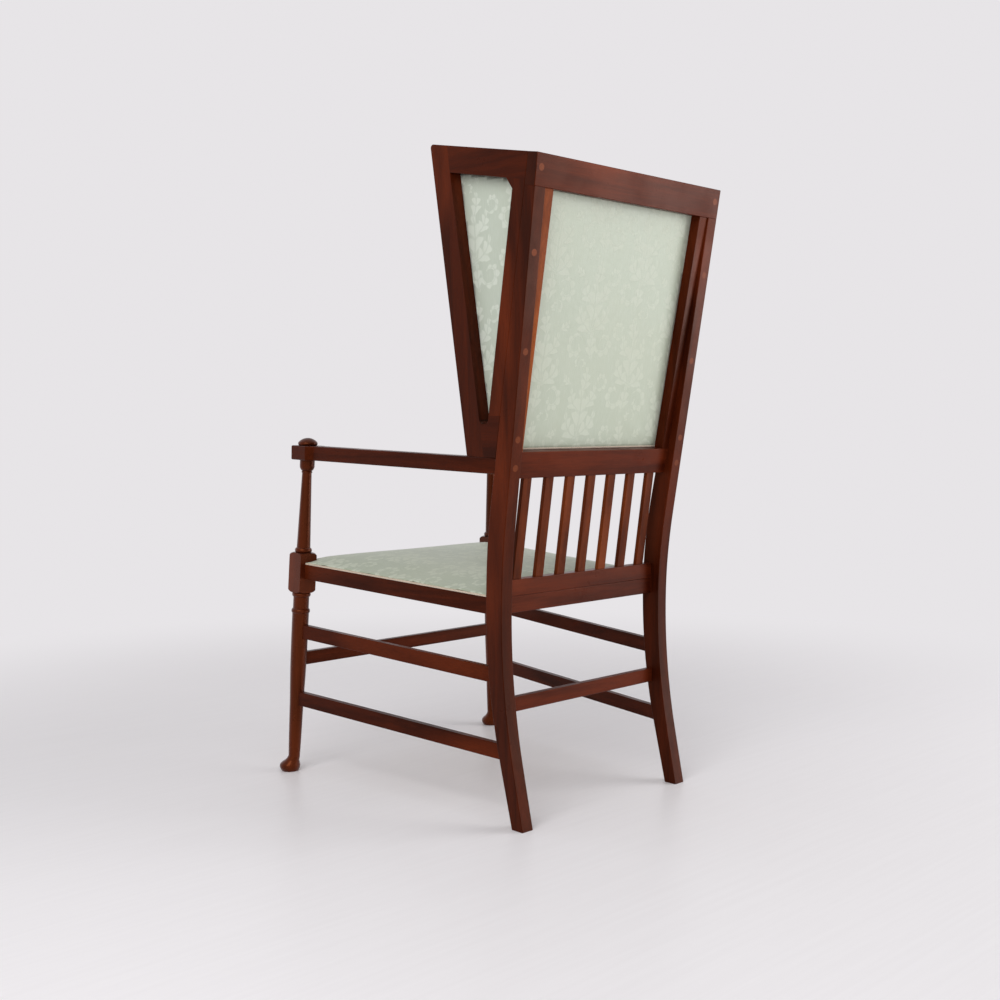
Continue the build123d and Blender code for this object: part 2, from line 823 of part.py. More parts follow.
def make_seat_gimp():
    """Braid along the foot of the seat cover on the two sides and the front."""
    deck = seat_deck_plane()
    outer = outline(seat_outline(cover_inset - gimp_thickness))
    inner = outline(seat_outline(cover_inset))
    ring = extrude(deck * (outer - inner), amount=gimp_height)
    behind = Pos(0, overrun / 2 - gimp_thickness, seat_rail_rear_level) * Box(
        2 * overrun, overrun, overrun)
    return ring - leg_notches() - behind


def pad_sections(crown, reach):
    rise_shares = [0.3, 0.6, 0.82, 0.95, 1.0]
    inset_shares = [0.0, 0.05, 0.16, 0.32, 0.5]
    sections = [(0, cloth_thickness)]
    for rise, inset in zip(rise_shares, inset_shares):
        sections.append((crown * rise, reach * inset))
    return sections


def make_back_upholstery():
    """Outside cloth, hessian, pad and braid of the back, from the rear to the front."""
    opening = panel_opening()
    lapped = inset_polygon(opening, [-back_lap] * 4)
    braid = inset_polygon(opening, [-back_lap - gimp_height] * 4)
    cloth = extrude(back_plane * outline(opening), amount=-cloth_thickness)
    hessian = extrude(back_plane * outline(lapped, back_lap / 2), amount=hessian_thickness)
    pad = cushion(lapped, pad_sections(back_crown, between_posts(mid_rail_top)),
                  back_plane.offset(hessian_thickness), back_lap / 2, 1 / 2, [1, 1, 1, 1])
    ring = outline(braid, back_lap / 2 + gimp_height) - outline(lapped, back_lap / 2)
    gimp = extrude(back_plane * ring, amount=gimp_thickness)
    return {"outside_back_cloth": cloth, "back_hessian": hessian, "back_pad": pad,
            "back_gimp": gimp}


def flipped(points):
    """Outline of a wing as seen on its inner face, anticlockwise again."""
    return [(-x, y) for x, y in reversed(points)]


def make_wing_upholstery():
    opening = wing_opening(wing_outline(0))
    lapped = inset_polygon(opening, [-wing_lap] * 4)
    braid = inset_polygon(opening, [-wing_lap - gimp_height] * 4)
    cloth = extrude(wing_plane.offset(-post_width) * opening_face(opening, 0),
                    amount=cloth_thickness)
    pad = cushion(flipped(lapped), pad_sections(wing_crown, wing_pad_draw),
                  wing_inner_plane, wing_slot_radius, -1 / 3, [1, 1, 1, 1])
    ring = outline(flipped(braid), wing_slot_radius + gimp_height)
    ring = ring - outline(flipped(lapped), wing_slot_radius)
    gimp = extrude(wing_inner_plane * ring, amount=gimp_thickness)
    return {"wing_outside_cloth": cloth, "wing_pad": pad, "wing_gimp": gimp}


def make_slats():
    """Seven slats between the slat rail and the mid rail, set just inside their back faces."""
    low_level = seat_rail_rear_level + 3 * seat_rail_height / 2
    low_y = post_front(seat_rail_rear_level) + seat_rail_thickness
    back_of_rail = back_plane.from_local_coords(
        Vector(0, mid_rail_top - mid_rail_height, -panel_thickness))
    inset = slat_setback + slat_thickness / 2
    slats = []
    for i in range(slat_count):
        x = (i - (slat_count - 1) / 2) * slat_spacing
        low = (x, low_y - inset, low_level)
        high = (x, back_of_rail.Y - inset, back_of_rail.Z)
        start = toward(low, high, -slat_tenon)
        end = toward(high, low, -slat_tenon)
        slats.append(bar(start, end, slat_width, slat_thickness, (1, 0, 0), eased_edge))
    return slats


def post_fixing(level, bite):
    """A plug and the screw under it, square to the post's back face at a level."""
    x = post_outer(level) - post_width / 2
    y = post_back(level)
    plane = Plane(origin=(x, y, level), x_dir=(1, 0, 0), z_dir=(0, -cos(back_rake), sin(back_rake)))
    plug = extrude(plane * Circle(plug_radius), amount=plug_depth)
    head = extrude(plane.offset(plug_depth) * Circle(screw_head_radius), amount=screw_head_height)
    depth = post_back(level) - post_front(level)
    shank = extrude(plane.offset(plug_depth) * Circle(screw_radius),
                    amount=depth - plug_depth + bite)
    return plug, head + shank


def make_corner_block(x_side, y_side, across, level, solids):
    """A triangular block glued into a corner of the seat frame, fitted round what is there."""
    corner = Vector(x_side, y_side)
    along = corner_block_leg
    points = [(corner.X, corner.Y), (corner.X - along, corner.Y),
              (corner.X, corner.Y + across * along)]
    low = level - seat_rail_height / 2 + corner_block_drop
    block = extrude(Pos(0, 0, low) * make_face(Polyline(*points, close=True)),
                    amount=corner_block_height)
    for solid in solids:
        block = block - solid
    return max(block.solids(), key=lambda solid: solid.volume)


def export_node(name, shape, shift):
    solids = list(shape.solids())
    whole = solids[0] if len(solids) == 1 else Compound(solids)
    export_step(Pos(0, shift, 0) * whole, "parts/" + name + ".step")


def build():
    nodes = {}
    post = make_posts()
    leg_raw = make_leg()
    posts = [post, mirrored(post)]
    crest = make_crest()
    arm_slab = make_arm()
    arm, arm_tenon = finish_arm(arm_slab, leg_raw)
    level_axis = (0, 0, 1)

    def side_rail(front_level, rear_level, wide, high, shoulder, tenon_wide):
        start = leg_axis(front_level)
        end = post_centre(rear_level)
        run = Vector(*end) - Vector(*start)
        across = run.cross(Vector(*level_axis))
        return jointed_rail(start, end, wide, high, across, [leg_raw, post], shoulder,
                            tenon_wide, (tenon_stop, tenon_stop))

    seat_rail, seat_tenon = side_rail(seat_rail_front_level, seat_rail_rear_level,
                                      seat_rail_thickness, seat_rail_height,
                                      tenon_shoulder, tenon_thickness)
    upper, upper_tenon = side_rail(upper_stretcher_front_level, upper_stretcher_rear_level,
                                   stretcher_thickness, side_stretcher_height,
                                   stretcher_shoulder, stretcher_tenon_thickness)
    lower, lower_tenon = side_rail(lower_stretcher_front_level, lower_stretcher_rear_level,
                                   stretcher_thickness, side_stretcher_height,
                                   stretcher_shoulder, stretcher_tenon_thickness)

    def cross_rail(level, wide, high, shoulder, tenon_wide):
        start = leg_axis(level)
        return jointed_rail(start, opposite(start), wide, high, (0, 1, 0),
                            [leg_raw, mirrored(leg_raw)], shoulder, tenon_wide,
                            (tenon_stop, tenon_stop))

    front_rail, front_tenon = cross_rail(seat_rail_front_level, seat_rail_thickness,
                                         seat_rail_height, tenon_shoulder, tenon_thickness)
    front_stretcher, low_tenon = cross_rail(front_stretcher_level, stretcher_thickness,
                                            cross_stretcher_height, stretcher_shoulder,
                                            stretcher_tenon_thickness)
    rear_seat_rail, rear_tenon = rear_rail(seat_rail_rear_level, seat_rail_height,
                                           seat_rail_thickness + rear_rail_ledge,
                                           rear_rail_ledge, posts, tenon_shoulder,
                                           tenon_thickness)
    slat_rail, slat_tenon_bar = rear_rail(seat_rail_rear_level + seat_rail_height,
                                          seat_rail_height, seat_rail_thickness, 0, posts,
                                          tenon_shoulder, tenon_thickness)
    rear_stretcher, rear_low_tenon = rear_rail(rear_stretcher_level, cross_stretcher_height,
                                               stretcher_thickness, 0, posts,
                                               stretcher_shoulder, stretcher_tenon_thickness)
    seat_rail = planed(seat_rail)
    front_rail = planed(front_rail)
    rear_seat_rail = planed(rear_seat_rail)
    mid_rail, mid_tenon = make_mid_rail(posts)
    stile = make_stile(post)
    wing = make_wing()

    plugs = []
    wing_screws = []
    arm_screws = []
    crest_level = crest_top_level - crest_screw_drop
    for level in (arm_screw_level, wing_screw_low_level, wing_screw_middle_level,
                  wing_screw_high_level, crest_level):
        plug, screw = post_fixing(level, screw_bite)
        plugs += [plug, mirrored(plug)]
        kind = arm_screws if level == arm_screw_level else wing_screws
        kind += [screw, mirrored(screw)]

    left_parts = [seat_tenon, upper_tenon, lower_tenon, arm_tenon, rear_tenon, slat_tenon_bar,
                  rear_low_tenon, mid_tenon]
    fixings = plugs + wing_screws + arm_screws
    for cutter in left_parts + fixings:
        post = post - cutter
    for cutter in plugs + wing_screws:
        crest = crest - cutter
    for name in wing:
        for screw in wing_screws:
            wing[name] = wing[name] - screw
    for screw in arm_screws:
        arm = arm - screw
    button = make_button()
    arm = arm - button
    leg = leg_raw - seat_tenon - upper_tenon - lower_tenon - front_tenon - low_tenon - button
    slats = make_slats()
    for slat in slats:
        slat_rail = slat_rail - slat
        mid_rail = mid_rail - slat

    nodes["rear_post_left"] = post
    nodes["rear_post_right"] = mirrored(post)
    nodes["crest_rail"] = crest
    nodes["mid_rail"] = mid_rail
    nodes["slat_rail"] = slat_rail
    nodes["rear_seat_rail"] = rear_seat_rail
    nodes["panel_stile_left"] = stile
    nodes["panel_stile_right"] = mirrored(stile)
    for number, slat in enumerate(slats, 1):
        nodes["back_slat_%d" % number] = slat
    for name, piece in wing.items():
        nodes[name + "_left"] = piece
        nodes[name + "_right"] = mirrored(piece)
    nodes["arm_left"] = arm
    nodes["arm_right"] = mirrored(arm)
    nodes["front_leg_left"] = leg
    nodes["front_leg_right"] = mirrored(leg)
    nodes["arm_button_left"] = button
    nodes["arm_button_right"] = mirrored(button)
    nodes["side_seat_rail_left"] = seat_rail
    nodes["side_seat_rail_right"] = mirrored(seat_rail)
    nodes["front_seat_rail"] = front_rail
    nodes["upper_stretcher_left"] = upper
    nodes["upper_stretcher_right"] = mirrored(upper)
    nodes["lower_stretcher_left"] = lower
    nodes["lower_stretcher_right"] = mirrored(lower)
    nodes["front_stretcher"] = front_stretcher
    nodes["rear_stretcher"] = rear_stretcher
    nodes["screw_plugs"] = Compound(plugs)
    nodes["wing_screws"] = Compound(wing_screws)
    nodes["arm_screws"] = Compound(arm_screws)

    front_x, front_y, front_z = leg_axis(seat_rail_front_level)
    front_block = make_corner_block(front_x - block_side / 4, front_y + block_side / 4, 1,
                                    seat_rail_front_level - corner_block_drop,
                                    [leg_raw, seat_rail, front_rail])
    rear_x, rear_y, rear_z = post_centre(seat_rail_rear_level)
    rear_block = make_corner_block(rear_x, post_front(rear_z) - rear_rail_ledge / 2, -1,
                                   rear_z, [post, seat_rail, rear_seat_rail])
    nodes["corner_blocks"] = Compound([front_block, mirrored(front_block),
                                       rear_block, mirrored(rear_block)])
    nodes["seat_webbing"] = make_webbing()
    nodes["seat_hessian"] = make_hessian()
    nodes["seat_stuffing"] = make_stuffing()
    nodes["seat_cover"] = make_seat_cover()
    nodes["seat_gimp"] = make_seat_gimp()
    nodes.update(make_back_upholstery())
    for name, piece in make_wing_upholstery().items():
        nodes[name + "_left"] = piece
        nodes[name + "_right"] = mirrored(piece)
    return nodes


os.makedirs("parts", exist_ok=True)
chair = build()
front_reach = foot_front_length + toe_forward + pad_foot_radius
middle_shift = (front_reach - post_back_top) / 2
for node_name, node_shape in chair.items():
    export_node(node_name, node_shape, middle_shift)
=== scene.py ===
# %% [markdown]
# # Dressing a high-backed armchair
# The chair is a mahogany frame with turned front legs, sabre-curved rear posts, two side
# wings and a slatted lower back. Its seat, back and wings are covered in a pale green
# figured cloth. The measured model of the frame is loaded first. It never moves: every
# finish and every soft piece in this lesson is built around it, in metres.

# %% Load the measured frame
import bpy
import bmesh
import functools
import math
import numpy as np
from mathutils import Matrix, Vector, kdtree, noise


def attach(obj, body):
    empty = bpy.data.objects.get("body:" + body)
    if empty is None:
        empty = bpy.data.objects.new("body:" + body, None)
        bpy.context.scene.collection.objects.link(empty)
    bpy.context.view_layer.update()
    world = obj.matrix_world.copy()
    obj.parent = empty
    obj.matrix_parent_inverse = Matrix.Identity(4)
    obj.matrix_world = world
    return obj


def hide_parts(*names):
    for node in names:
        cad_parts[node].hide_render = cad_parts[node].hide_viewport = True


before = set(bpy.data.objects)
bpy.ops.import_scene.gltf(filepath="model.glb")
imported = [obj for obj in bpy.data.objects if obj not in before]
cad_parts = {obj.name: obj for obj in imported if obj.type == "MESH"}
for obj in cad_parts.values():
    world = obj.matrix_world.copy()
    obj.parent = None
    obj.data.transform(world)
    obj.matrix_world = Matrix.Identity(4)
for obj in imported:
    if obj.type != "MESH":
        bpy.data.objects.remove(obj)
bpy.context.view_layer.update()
scene = bpy.context.scene
print("pieces in the frame:", len(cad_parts))

# %% [markdown]
# ## Camera
# The chair was photographed from behind its left side, at about arm height, with a
# moderately long lens. The directions below were found by matching the chair's straight
# edges. A small shift of the lens stands for the way the picture was cropped.

# %% Place the camera
camera_place = Vector((1.7536, 1.7967, 0.70695))
looks_along = Vector((-0.69374809, -0.71942752, -0.03372867))
picture_right = Vector((-0.71984006, 0.69413995, 0.00012716))
picture_up = picture_right.cross(looks_along)
lens = bpy.data.cameras.new("camera")
lens.sensor_width = 36
lens.lens = 45.517
lens.shift_x = 0.00675
lens.shift_y = -0.03549
camera = bpy.data.objects.new("camera", lens)
scene.collection.objects.link(camera)
turn = Matrix((picture_right, picture_up, -looks_along)).transposed()
camera.matrix_world = Matrix.Translation(camera_place) @ turn.to_4x4()
scene.camera = camera
print("camera at", tuple(camera_place), "lens", lens.lens)

# %% [markdown]
# ## Small helpers for materials
# A material in Blender is a graph of nodes. A few helpers keep the graphs short to write.
# One adds a node and joins its inputs, and one turns a colour picked from a screen into the
# linear values that the shader works with. The output of a node is kept as a Value. It can
# be added and multiplied as a number can, and every such step adds one Math node.

# %% Helpers for node graphs
class Value:
    """The output of a node, used in a formula as a number is."""

    def __init__(self, tree, socket):
        self.tree, self.socket = tree, socket

    def __add__(self, other):
        return maths("ADD", self, other)

    def __sub__(self, other):
        return maths("SUBTRACT", self, other)

    def __rsub__(self, other):
        return maths("SUBTRACT", other, self)

    def __mul__(self, other):
        return maths("MULTIPLY", self, other)

    def __truediv__(self, other):
        return maths("DIVIDE", self, other)

    def __abs__(self):
        return maths("ABSOLUTE", self)


def set_inputs(tree, node, inputs):
    """Set a node's inputs; each is a plain value or another node's output."""
    for key, value in inputs.items():
        if isinstance(value, Value):
            tree.links.new(value.socket, node.inputs[key])
        else:
            node.inputs[key].default_value = value


def add_node(tree, kind, inputs=None, **settings):
    made = tree.nodes.new(kind)
    for key, value in settings.items():
        setattr(made, key, value)
    set_inputs(tree, made, inputs or {})
    return made


def result_of(tree, kind, inputs=None, output=0, **settings):
    """Add a node and give one of its outputs."""
    return Value(tree, add_node(tree, kind, inputs, **settings).outputs[output])


def outputs_of(tree, kind, inputs=None):
    """Add a node and give all its outputs, by their names."""
    return {socket.name: Value(tree, socket) for socket in add_node(tree, kind, inputs).outputs}


def maths(operation, *numbers):
    """One Math node; at least one of its numbers is a Value."""
    tree = next(number.tree for number in numbers if isinstance(number, Value))
    return result_of(tree, "ShaderNodeMath", dict(enumerate(numbers)), operation=operation)


def larger(a, b):
    return maths("MAXIMUM", a, b)


def combine(tree, x=0.0, y=0.0, z=0.0):
    return result_of(tree, "ShaderNodeCombineXYZ", {0: x, 1: y, 2: z})


def colour(code):
    """Screen colour such as 'a07050' as linear red, green, blue and alpha."""
    parts = [int(code[i:i + 2], 16) / 255 for i in (0, 2, 4)]
    linear = [p / 12.92 if p <= 0.04045 else ((p + 0.055) / 1.055) ** 2.4 for p in parts]
    return linear + [1.0]


def blend_colours(share, first, second, mode="MIX"):
    return result_of(share.tree, "ShaderNodeMix", {"Factor": share, 6: first, 7: second}, 2,
                     data_type="RGBA", blend_type=mode)


def spread(value, low, high, to_low=0.0, to_high=1.0):
    """Map a value smoothly from one range to another, held at both ends."""
    return result_of(value.tree, "ShaderNodeMapRange",
                     {"Value": value, "From Min": low, "From Max": high,
                      "To Min": to_low, "To Max": to_high}, "Result",
                     interpolation_type="SMOOTHSTEP")


def mapped(vector, **changes):
    """The same coordinates, moved, turned or scaled."""
    return result_of(vector.tree, "ShaderNodeMapping", dict(changes, Vector=vector))


def mottle(vector, scale, detail, roughness=0.5, distortion=0.0, output="Fac"):
    """Soft random patches."""
    return result_of(vector.tree, "ShaderNodeTexNoise",
                     {"Vector": vector, "Scale": scale, "Detail": detail,
                      "Roughness": roughness, "Distortion": distortion}, output)


def relief(height, strength, depth):
    return result_of(height.tree, "ShaderNodeBump",
                     {"Strength": strength, "Distance": depth, "Height": height})


def start_material(name):
    made = bpy.data.materials.new(name)
    made.use_nodes = True
    tree = made.node_tree
    place = result_of(tree, "ShaderNodeTexCoord", output="Object")
    return made, tree, tree.nodes["Principled BSDF"], place


print("helpers ready")

# %% [markdown]
# ## Light and floor
# The picture was taken in a bright white studio. The world gives an even light, and two
# large soft lamps give it direction: one near the camera, and one to the right whose
# reflection makes the backs of the posts and rails shine. The floor is of white boards
# with a satin sheen. Far from the chair it takes the colour of the backdrop, as seen by
# the camera only, so the chair's shadow stays and no wall stands in the way of other views.

# %% Make the light and the floor
BACKDROP = [0.800, 0.780, 0.800, 1.0]
FLOOR_TONES = (0.915, 0.892, 0.910, 1), (0.930, 0.908, 0.926, 1)
FLOOR_REACH, FADE_FROM, FADE_TO = 30, 0.9, 2.3
scene.view_settings.view_transform = "Standard"


def seen_directly(tree):
    """1 for what the camera sees straight, in a reflection or through glass, else 0."""
    rays = outputs_of(tree, "ShaderNodeLightPath")
    seen = larger(rays["Is Camera Ray"], rays["Is Glossy Ray"])
    return larger(seen, rays["Is Transmission Ray"])


world = bpy.data.worlds.new("studio")
world.use_nodes = True
scene.world = world
sky = world.node_tree
sky.nodes.clear()
even_light = result_of(sky, "ShaderNodeBackground",
                       {"Color": (1.0, 0.99, 1.0, 1.0), "Strength": 0.48})
backdrop = result_of(sky, "ShaderNodeBackground", {"Color": BACKDROP, "Strength": 1.0})
chosen = result_of(sky, "ShaderNodeMixShader",
                   {0: seen_directly(sky), 1: even_light, 2: backdrop})
add_node(sky, "ShaderNodeOutputWorld", {"Surface": chosen})


def soft_lamp(name, place, target, size, power):
    lamp = bpy.data.lights.new(name, "AREA")
    lamp.shape = "SQUARE"
    lamp.size = size
    lamp.energy = power
    holder = bpy.data.objects.new(name, lamp)
    scene.collection.objects.link(holder)
    direction = Vector(target) - Vector(place)
    holder.matrix_world = (Matrix.Translation(place)
                           @ direction.to_track_quat("-Z", "Y").to_matrix().to_4x4())


soft_lamp("lamp_right", (-2.6, 2.6, 1.25), (0, 0, 0.7), size=2.2, power=66)
soft_lamp("lamp_camera", (2.9, 1.2, 2.3), (0, 0, 0.6), size=2.4, power=62)

floor_sheet = bmesh.new()
bmesh.ops.create_grid(floor_sheet, x_segments=2, y_segments=2, size=FLOOR_REACH)
floor_mesh = bpy.data.meshes.new("floor")
floor_sheet.to_mesh(floor_mesh)
floor_sheet.free()
floor = bpy.data.objects.new("floor", floor_mesh)
scene.collection.objects.link(floor)

made, tree, shader, place = start_material("floor_boards")
brushing = mottle(mapped(place, Rotation=(0, 0, 0.80), Scale=(1.2, 34, 1)), 3, 5, 0.6)
boards = blend_colours(spread(brushing, 0.35, 0.65), *FLOOR_TONES)
set_inputs(tree, shader, {"Base Color": boards,
                          "Roughness": spread(brushing, 0.3, 0.7, 0.36, 0.40),
                          "Specular IOR Level": 0.22})
far = result_of(tree, "ShaderNodeVectorMath", {0: place}, "Value", operation="LENGTH")
glow = result_of(tree, "ShaderNodeEmission", {"Color": BACKDROP, "Strength": 1.0})
fade = spread(far, FADE_FROM, FADE_TO) * seen_directly(tree)
faded = result_of(tree, "ShaderNodeMixShader",
                  {0: fade, 1: Value(tree, shader.outputs[0]), 2: glow})
set_inputs(tree, tree.nodes["Material Output"], {"Surface": faded})
floor.data.materials.append(made)
print("lamps and floor placed")

# %% [markdown]
# ## Mahogany
# The frame is Cuban-type mahogany, stained red-brown and waxed to a soft gloss. Three
# things make it read as that wood. Long soft streaks run with the grain. Short dark pores
# lie in the same direction. The polish is uneven, so that the gloss breaks up. A texture is
# stretched along the grain by scaling its coordinates less in that direction, so one
# recipe serves every board, with the grain along X, Y or Z.

# %% Mahogany recipe
GRAIN = {"X": 0, "Y": 1, "Z": 2}
WARM_GLOSS = (1.0, 0.30, 0.12, 1.0)
PORE_TONE, END_TONE = colour("140703"), colour("1c0b07")


def mahogany(name, along, dark, middle, light, gloss=0.33, shine=0.16):
    made, tree, shader, place = start_material(name)
    axis = GRAIN[along]
    dark, middle, light = colour(dark), colour(middle), colour(light)

    def streaks(lengthways, crossways, detail, roughness, distortion=0.0):
        scale = [crossways] * 3
        scale[axis] = lengthways
        return mottle(mapped(place, Scale=scale), 1, detail, roughness, distortion)

    ribbons = streaks(2.6, 42, 6, 0.62, 0.35)
    figure = streaks(2.1, 9, 3, 0.5)
    fibres = streaks(28, 620, 4, 0.7)
    pores = spread(streaks(70, 1500, 2, 0.5), 0.62, 0.72)
    wear = mottle(place, 11, 5, 0.6)
    facing = result_of(tree, "ShaderNodeTexCoord", output="Normal")
    facing = result_of(tree, "ShaderNodeSeparateXYZ", {0: facing}, axis)
    end_grain = spread(abs(facing), 0.82, 0.95)
    tone = blend_colours(spread(ribbons, 0.32, 0.68), dark, middle)
    tone = blend_colours(spread(figure, 0.46, 0.72), tone, light)
    tone = blend_colours(spread(fibres, 0.35, 0.8) * 0.35, tone, dark, "MULTIPLY")
    tone = blend_colours(pores * 0.5, tone, PORE_TONE)
    tone = blend_colours(end_grain * 0.75, tone, END_TONE)
    set_inputs(tree, shader, {
        "Base Color": tone, "Roughness": spread(wear, 0.3, 0.75, gloss - 0.06, gloss + 0.12),
        "Normal": relief(fibres * 0.5 + pores * -0.6, 0.16, 0.0006),
        "Specular IOR Level": shine, "Specular Tint": WARM_GLOSS})
    return made


woods = {"X": mahogany("mahogany_along_X", "X", "381107", "58200d", "742f16"),
         "Y": mahogany("mahogany_along_Y", "Y", "2a0c05", "441708", "5b230e"),
         "Z": mahogany("mahogany_along_Z", "Z", "2b0d05", "461808", "60250f")}
slat_wood = mahogany("mahogany_slats", "Z", "451a09", "662c11", "7e3b19", 0.36)
# Painted light: the left stile of the back gets this lighter, more orange wood to stand for the
# light that falls on it.
painted_light_stile_wood = mahogany("mahogany_stiles", "Z", "6a2e0e", "8f451a", "a55523", 0.36)
turned_wood = mahogany("mahogany_turned", "Z", "2d0f06", "481a0b", "602711", 0.24, 0.5)
print("woods made:", sorted(m.name for m in bpy.data.materials if "mahogany" in m.name))

# %% [markdown]
# ## Plugs, glue blocks and screws
# The wings and arms are screwed on through the posts, and the screw heads are hidden under
# round plugs of a lighter wood that has kept its orange tone. The glue blocks under the
# seat are plain beech. The screws are inside the wood, yet they get steel all the same.

# %% Lesser woods and steel
def speckled(name, dark, light, size, roughness, metal=0.0):
    made, tree, shader, place = start_material(name)
    specks = mottle(place, size, 5, 0.65)
    set_inputs(tree, shader, {
        "Base Color": blend_colours(spread(specks, 0.32, 0.68), colour(dark), colour(light)),
        "Roughness": spread(specks, 0.2, 0.8, roughness - 0.05, roughness + 0.1),
        "Normal": relief(specks, 0.25, 0.0003), "Metallic": metal})
    if not metal:
        set_inputs(tree, shader, {"Specular IOR Level": 0.3, "Specular Tint": WARM_GLOSS})
    return made


plug_wood = speckled("plug_wood", "52200b", "703516", 700, 0.38)
block_wood = speckled("beech_block", "9c7446", "bb9463", 160, 0.6)
screw_steel = speckled("screw_steel", "8f8f8c", "b9b9b5", 400, 0.35, 1.0)
print("lesser finishes:", plug_wood.name, block_wood.name, screw_steel.name)

# %% [markdown]
# ## Which way the grain runs
# A joiner cuts each piece with the grain along its length. Posts, stiles, slats and legs
# stand upright, rails and stretchers across the chair run left to right, and arms and side
# rails run front to back. The names of the frame's pieces tell which is which. The slats
# of the back are cut from a lighter plank. The left stile of the back is painted lighter
# and more orange for the light that falls on it: painted light, not a paler plank.

# %% Finish the wooden pieces
FINISHES = (
    # The left stile of the back gets the lighter wood that paints the light falling on it.
    (("back_slat",), slat_wood), (("panel_stile_left",), painted_light_stile_wood),
    (("front_leg", "arm_button"), turned_wood),
    (("rear_post", "panel_stile", "wing_front_stile", "wing_rear_stile"), woods["Z"]),
    (("crest_rail", "mid_rail", "slat_rail", "rear_seat_rail", "front_seat_rail",
      "front_stretcher", "rear_stretcher"), woods["X"]),
    (("arm_left", "arm_right", "wing_top_rail", "wing_bottom_block", "side_seat_rail",
      "upper_stretcher", "lower_stretcher"), woods["Y"]),
    (("screw_plugs",), plug_wood), (("corner_blocks",), block_wood),
    (("wing_screws", "arm_screws"), screw_steel))

finished = 0
for name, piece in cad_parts.items():
    finish = next((material for starts, material in FINISHES if name.startswith(starts)), None)
    if finish:
        piece.data.materials.clear()
        piece.data.materials.append(finish)
        finished += 1
print("wooden pieces finished:", finished)

# %% [markdown]
# ## Figured cloth
# The cover is a satin damask in pale green: sprays of lobed leaves with curled fronds, of the
# same colour as the ground and only a little lighter and duller. A woven pattern repeats,
# so space is first folded into tiles, with every second column dropped by half a tile and
# turned round. In a tile a spray is drawn from leaves that fan out from a foot, with fronds
# curled at its sides. One leaf and one frond are small groups of nodes, used again and
# again with another place, angle and size.

# %% One leaf and one frond as node groups
def start_group(name, sizes):
    """A group that draws one motif; own is the point as seen from the motif's place."""
    group = bpy.data.node_groups.new(name, "ShaderNodeTree")
    kinds = {"Point": "Vector", "Place": "Vector", "Angle": "Float"}
    kinds.update((size, "Float") for size in sizes)
    for label, kind in kinds.items():
        group.interface.new_socket(label, in_out="INPUT", socket_type="NodeSocket" + kind)
    group.interface.new_socket("Mask", in_out="OUTPUT", socket_type="NodeSocketFloat")
    given = outputs_of(group, "NodeGroupInput")
    moved = result_of(group, "ShaderNodeVectorMath", {0: given["Point"], 1: given["Place"]},
                      operation="SUBTRACT")
    turned = result_of(group, "ShaderNodeVectorRotate",
                       {"Vector": moved, "Angle": given["Angle"]}, rotation_type="Z_AXIS")
    return group, given, outputs_of(group, "ShaderNodeSeparateXYZ", {0: turned})


def end_group(group, mask):
    add_node(group, "NodeGroupOutput", {"Mask": mask})
    return group


def make_leaf():
    """A long leaf with hooked lobes, a bare midrib and slanting veins."""
    group, given, own = start_group("leaf", LEAF_SIZES)
    along = own["X"] / given["Length"]
    square = along * along
    aside = abs(own["Y"] + square * given["Bend"]) / given["Width"]
    hooks = maths("SINE", along * 10.5 - aside * 2.6)
    taper = 1.10 - along * 0.25
    edge = larger(1.0 - square, 0.0) * (taper + hooks * 0.36)
    inside = spread(edge - aside, 0.0, 0.30)
    midrib = spread(aside, 0.04, 0.15, 0.30, 1.0)
    veins = spread(hooks, -1.0, -0.45, 0.45, 1.0)
    return end_group(group, inside * midrib * veins)


def make_frond():
    """A leaf rolled into an open scroll: thin at both ends, lobed on its outer side."""
    group, given, own = start_group("frond", FROND_SIZES)
    far = maths("SQRT", own["X"] * own["X"] + own["Y"] * own["Y"])
    turn = (maths("ARCTAN2", own["Y"], own["X"]) + math.pi) / (2 * math.pi)
    off = far - maths("MULTIPLY_ADD", turn, 0.62, 0.38) * given["Radius"]
    swell = larger(turn * (1.0 - turn) * 4.6, 0.0001) * given["Width"]
    lobes = maths("SINE", turn * 47.0)
    outer = swell * maths("MULTIPLY_ADD", lobes, 0.26, 0.80)
    inner = swell * 0.36
    share = larger(off / outer, off / inner * -1.0)
    inside = spread(1.0 - share, 0.0, 0.30)
    rib = spread(abs(off / swell), 0.02, 0.12, 0.35, 1.0)
    veins = spread(lobes, -1.0, -0.3, 0.45, 1.0)
    return end_group(group, inside * rib * veins)


LEAF_SIZES, FROND_SIZES = ("Length", "Width", "Bend"), ("Radius", "Width")
leaf_group, frond_group = make_leaf(), make_frond()
print("node groups:", leaf_group.name, frond_group.name)

# %% Damask recipe
TILE_WIDE, TILE_HIGH = 0.118, 0.190
WOBBLE = 0.0085


def folded(flat):
    """Fold the plane into tiles; odd columns are dropped by half and mirrored."""
    own = outputs_of(flat.tree, "ShaderNodeSeparateXYZ", {0: flat})
    column = maths("FLOOR", own["X"] / TILE_WIDE)
    odd = maths("FLOORED_MODULO", column, 2.0)
    x = (own["X"] - (column + 0.5) * TILE_WIDE) * (1.0 - odd * 2.0)
    y = maths("WRAP", own["Y"] + odd * (TILE_HIGH / 2), TILE_HIGH / 2, -TILE_HIGH / 2)
    return combine(flat.tree, x, y)


def add_motif(point, group, labels, x, y, degrees, *sizes):
    made = add_node(point.tree, "ShaderNodeGroup", node_tree=group)
    set_inputs(point.tree, made, dict(zip(labels, sizes), Point=point, Place=(x, y, 0),
                                      Angle=-math.radians(degrees)))
    return Value(point.tree, made.outputs[0])


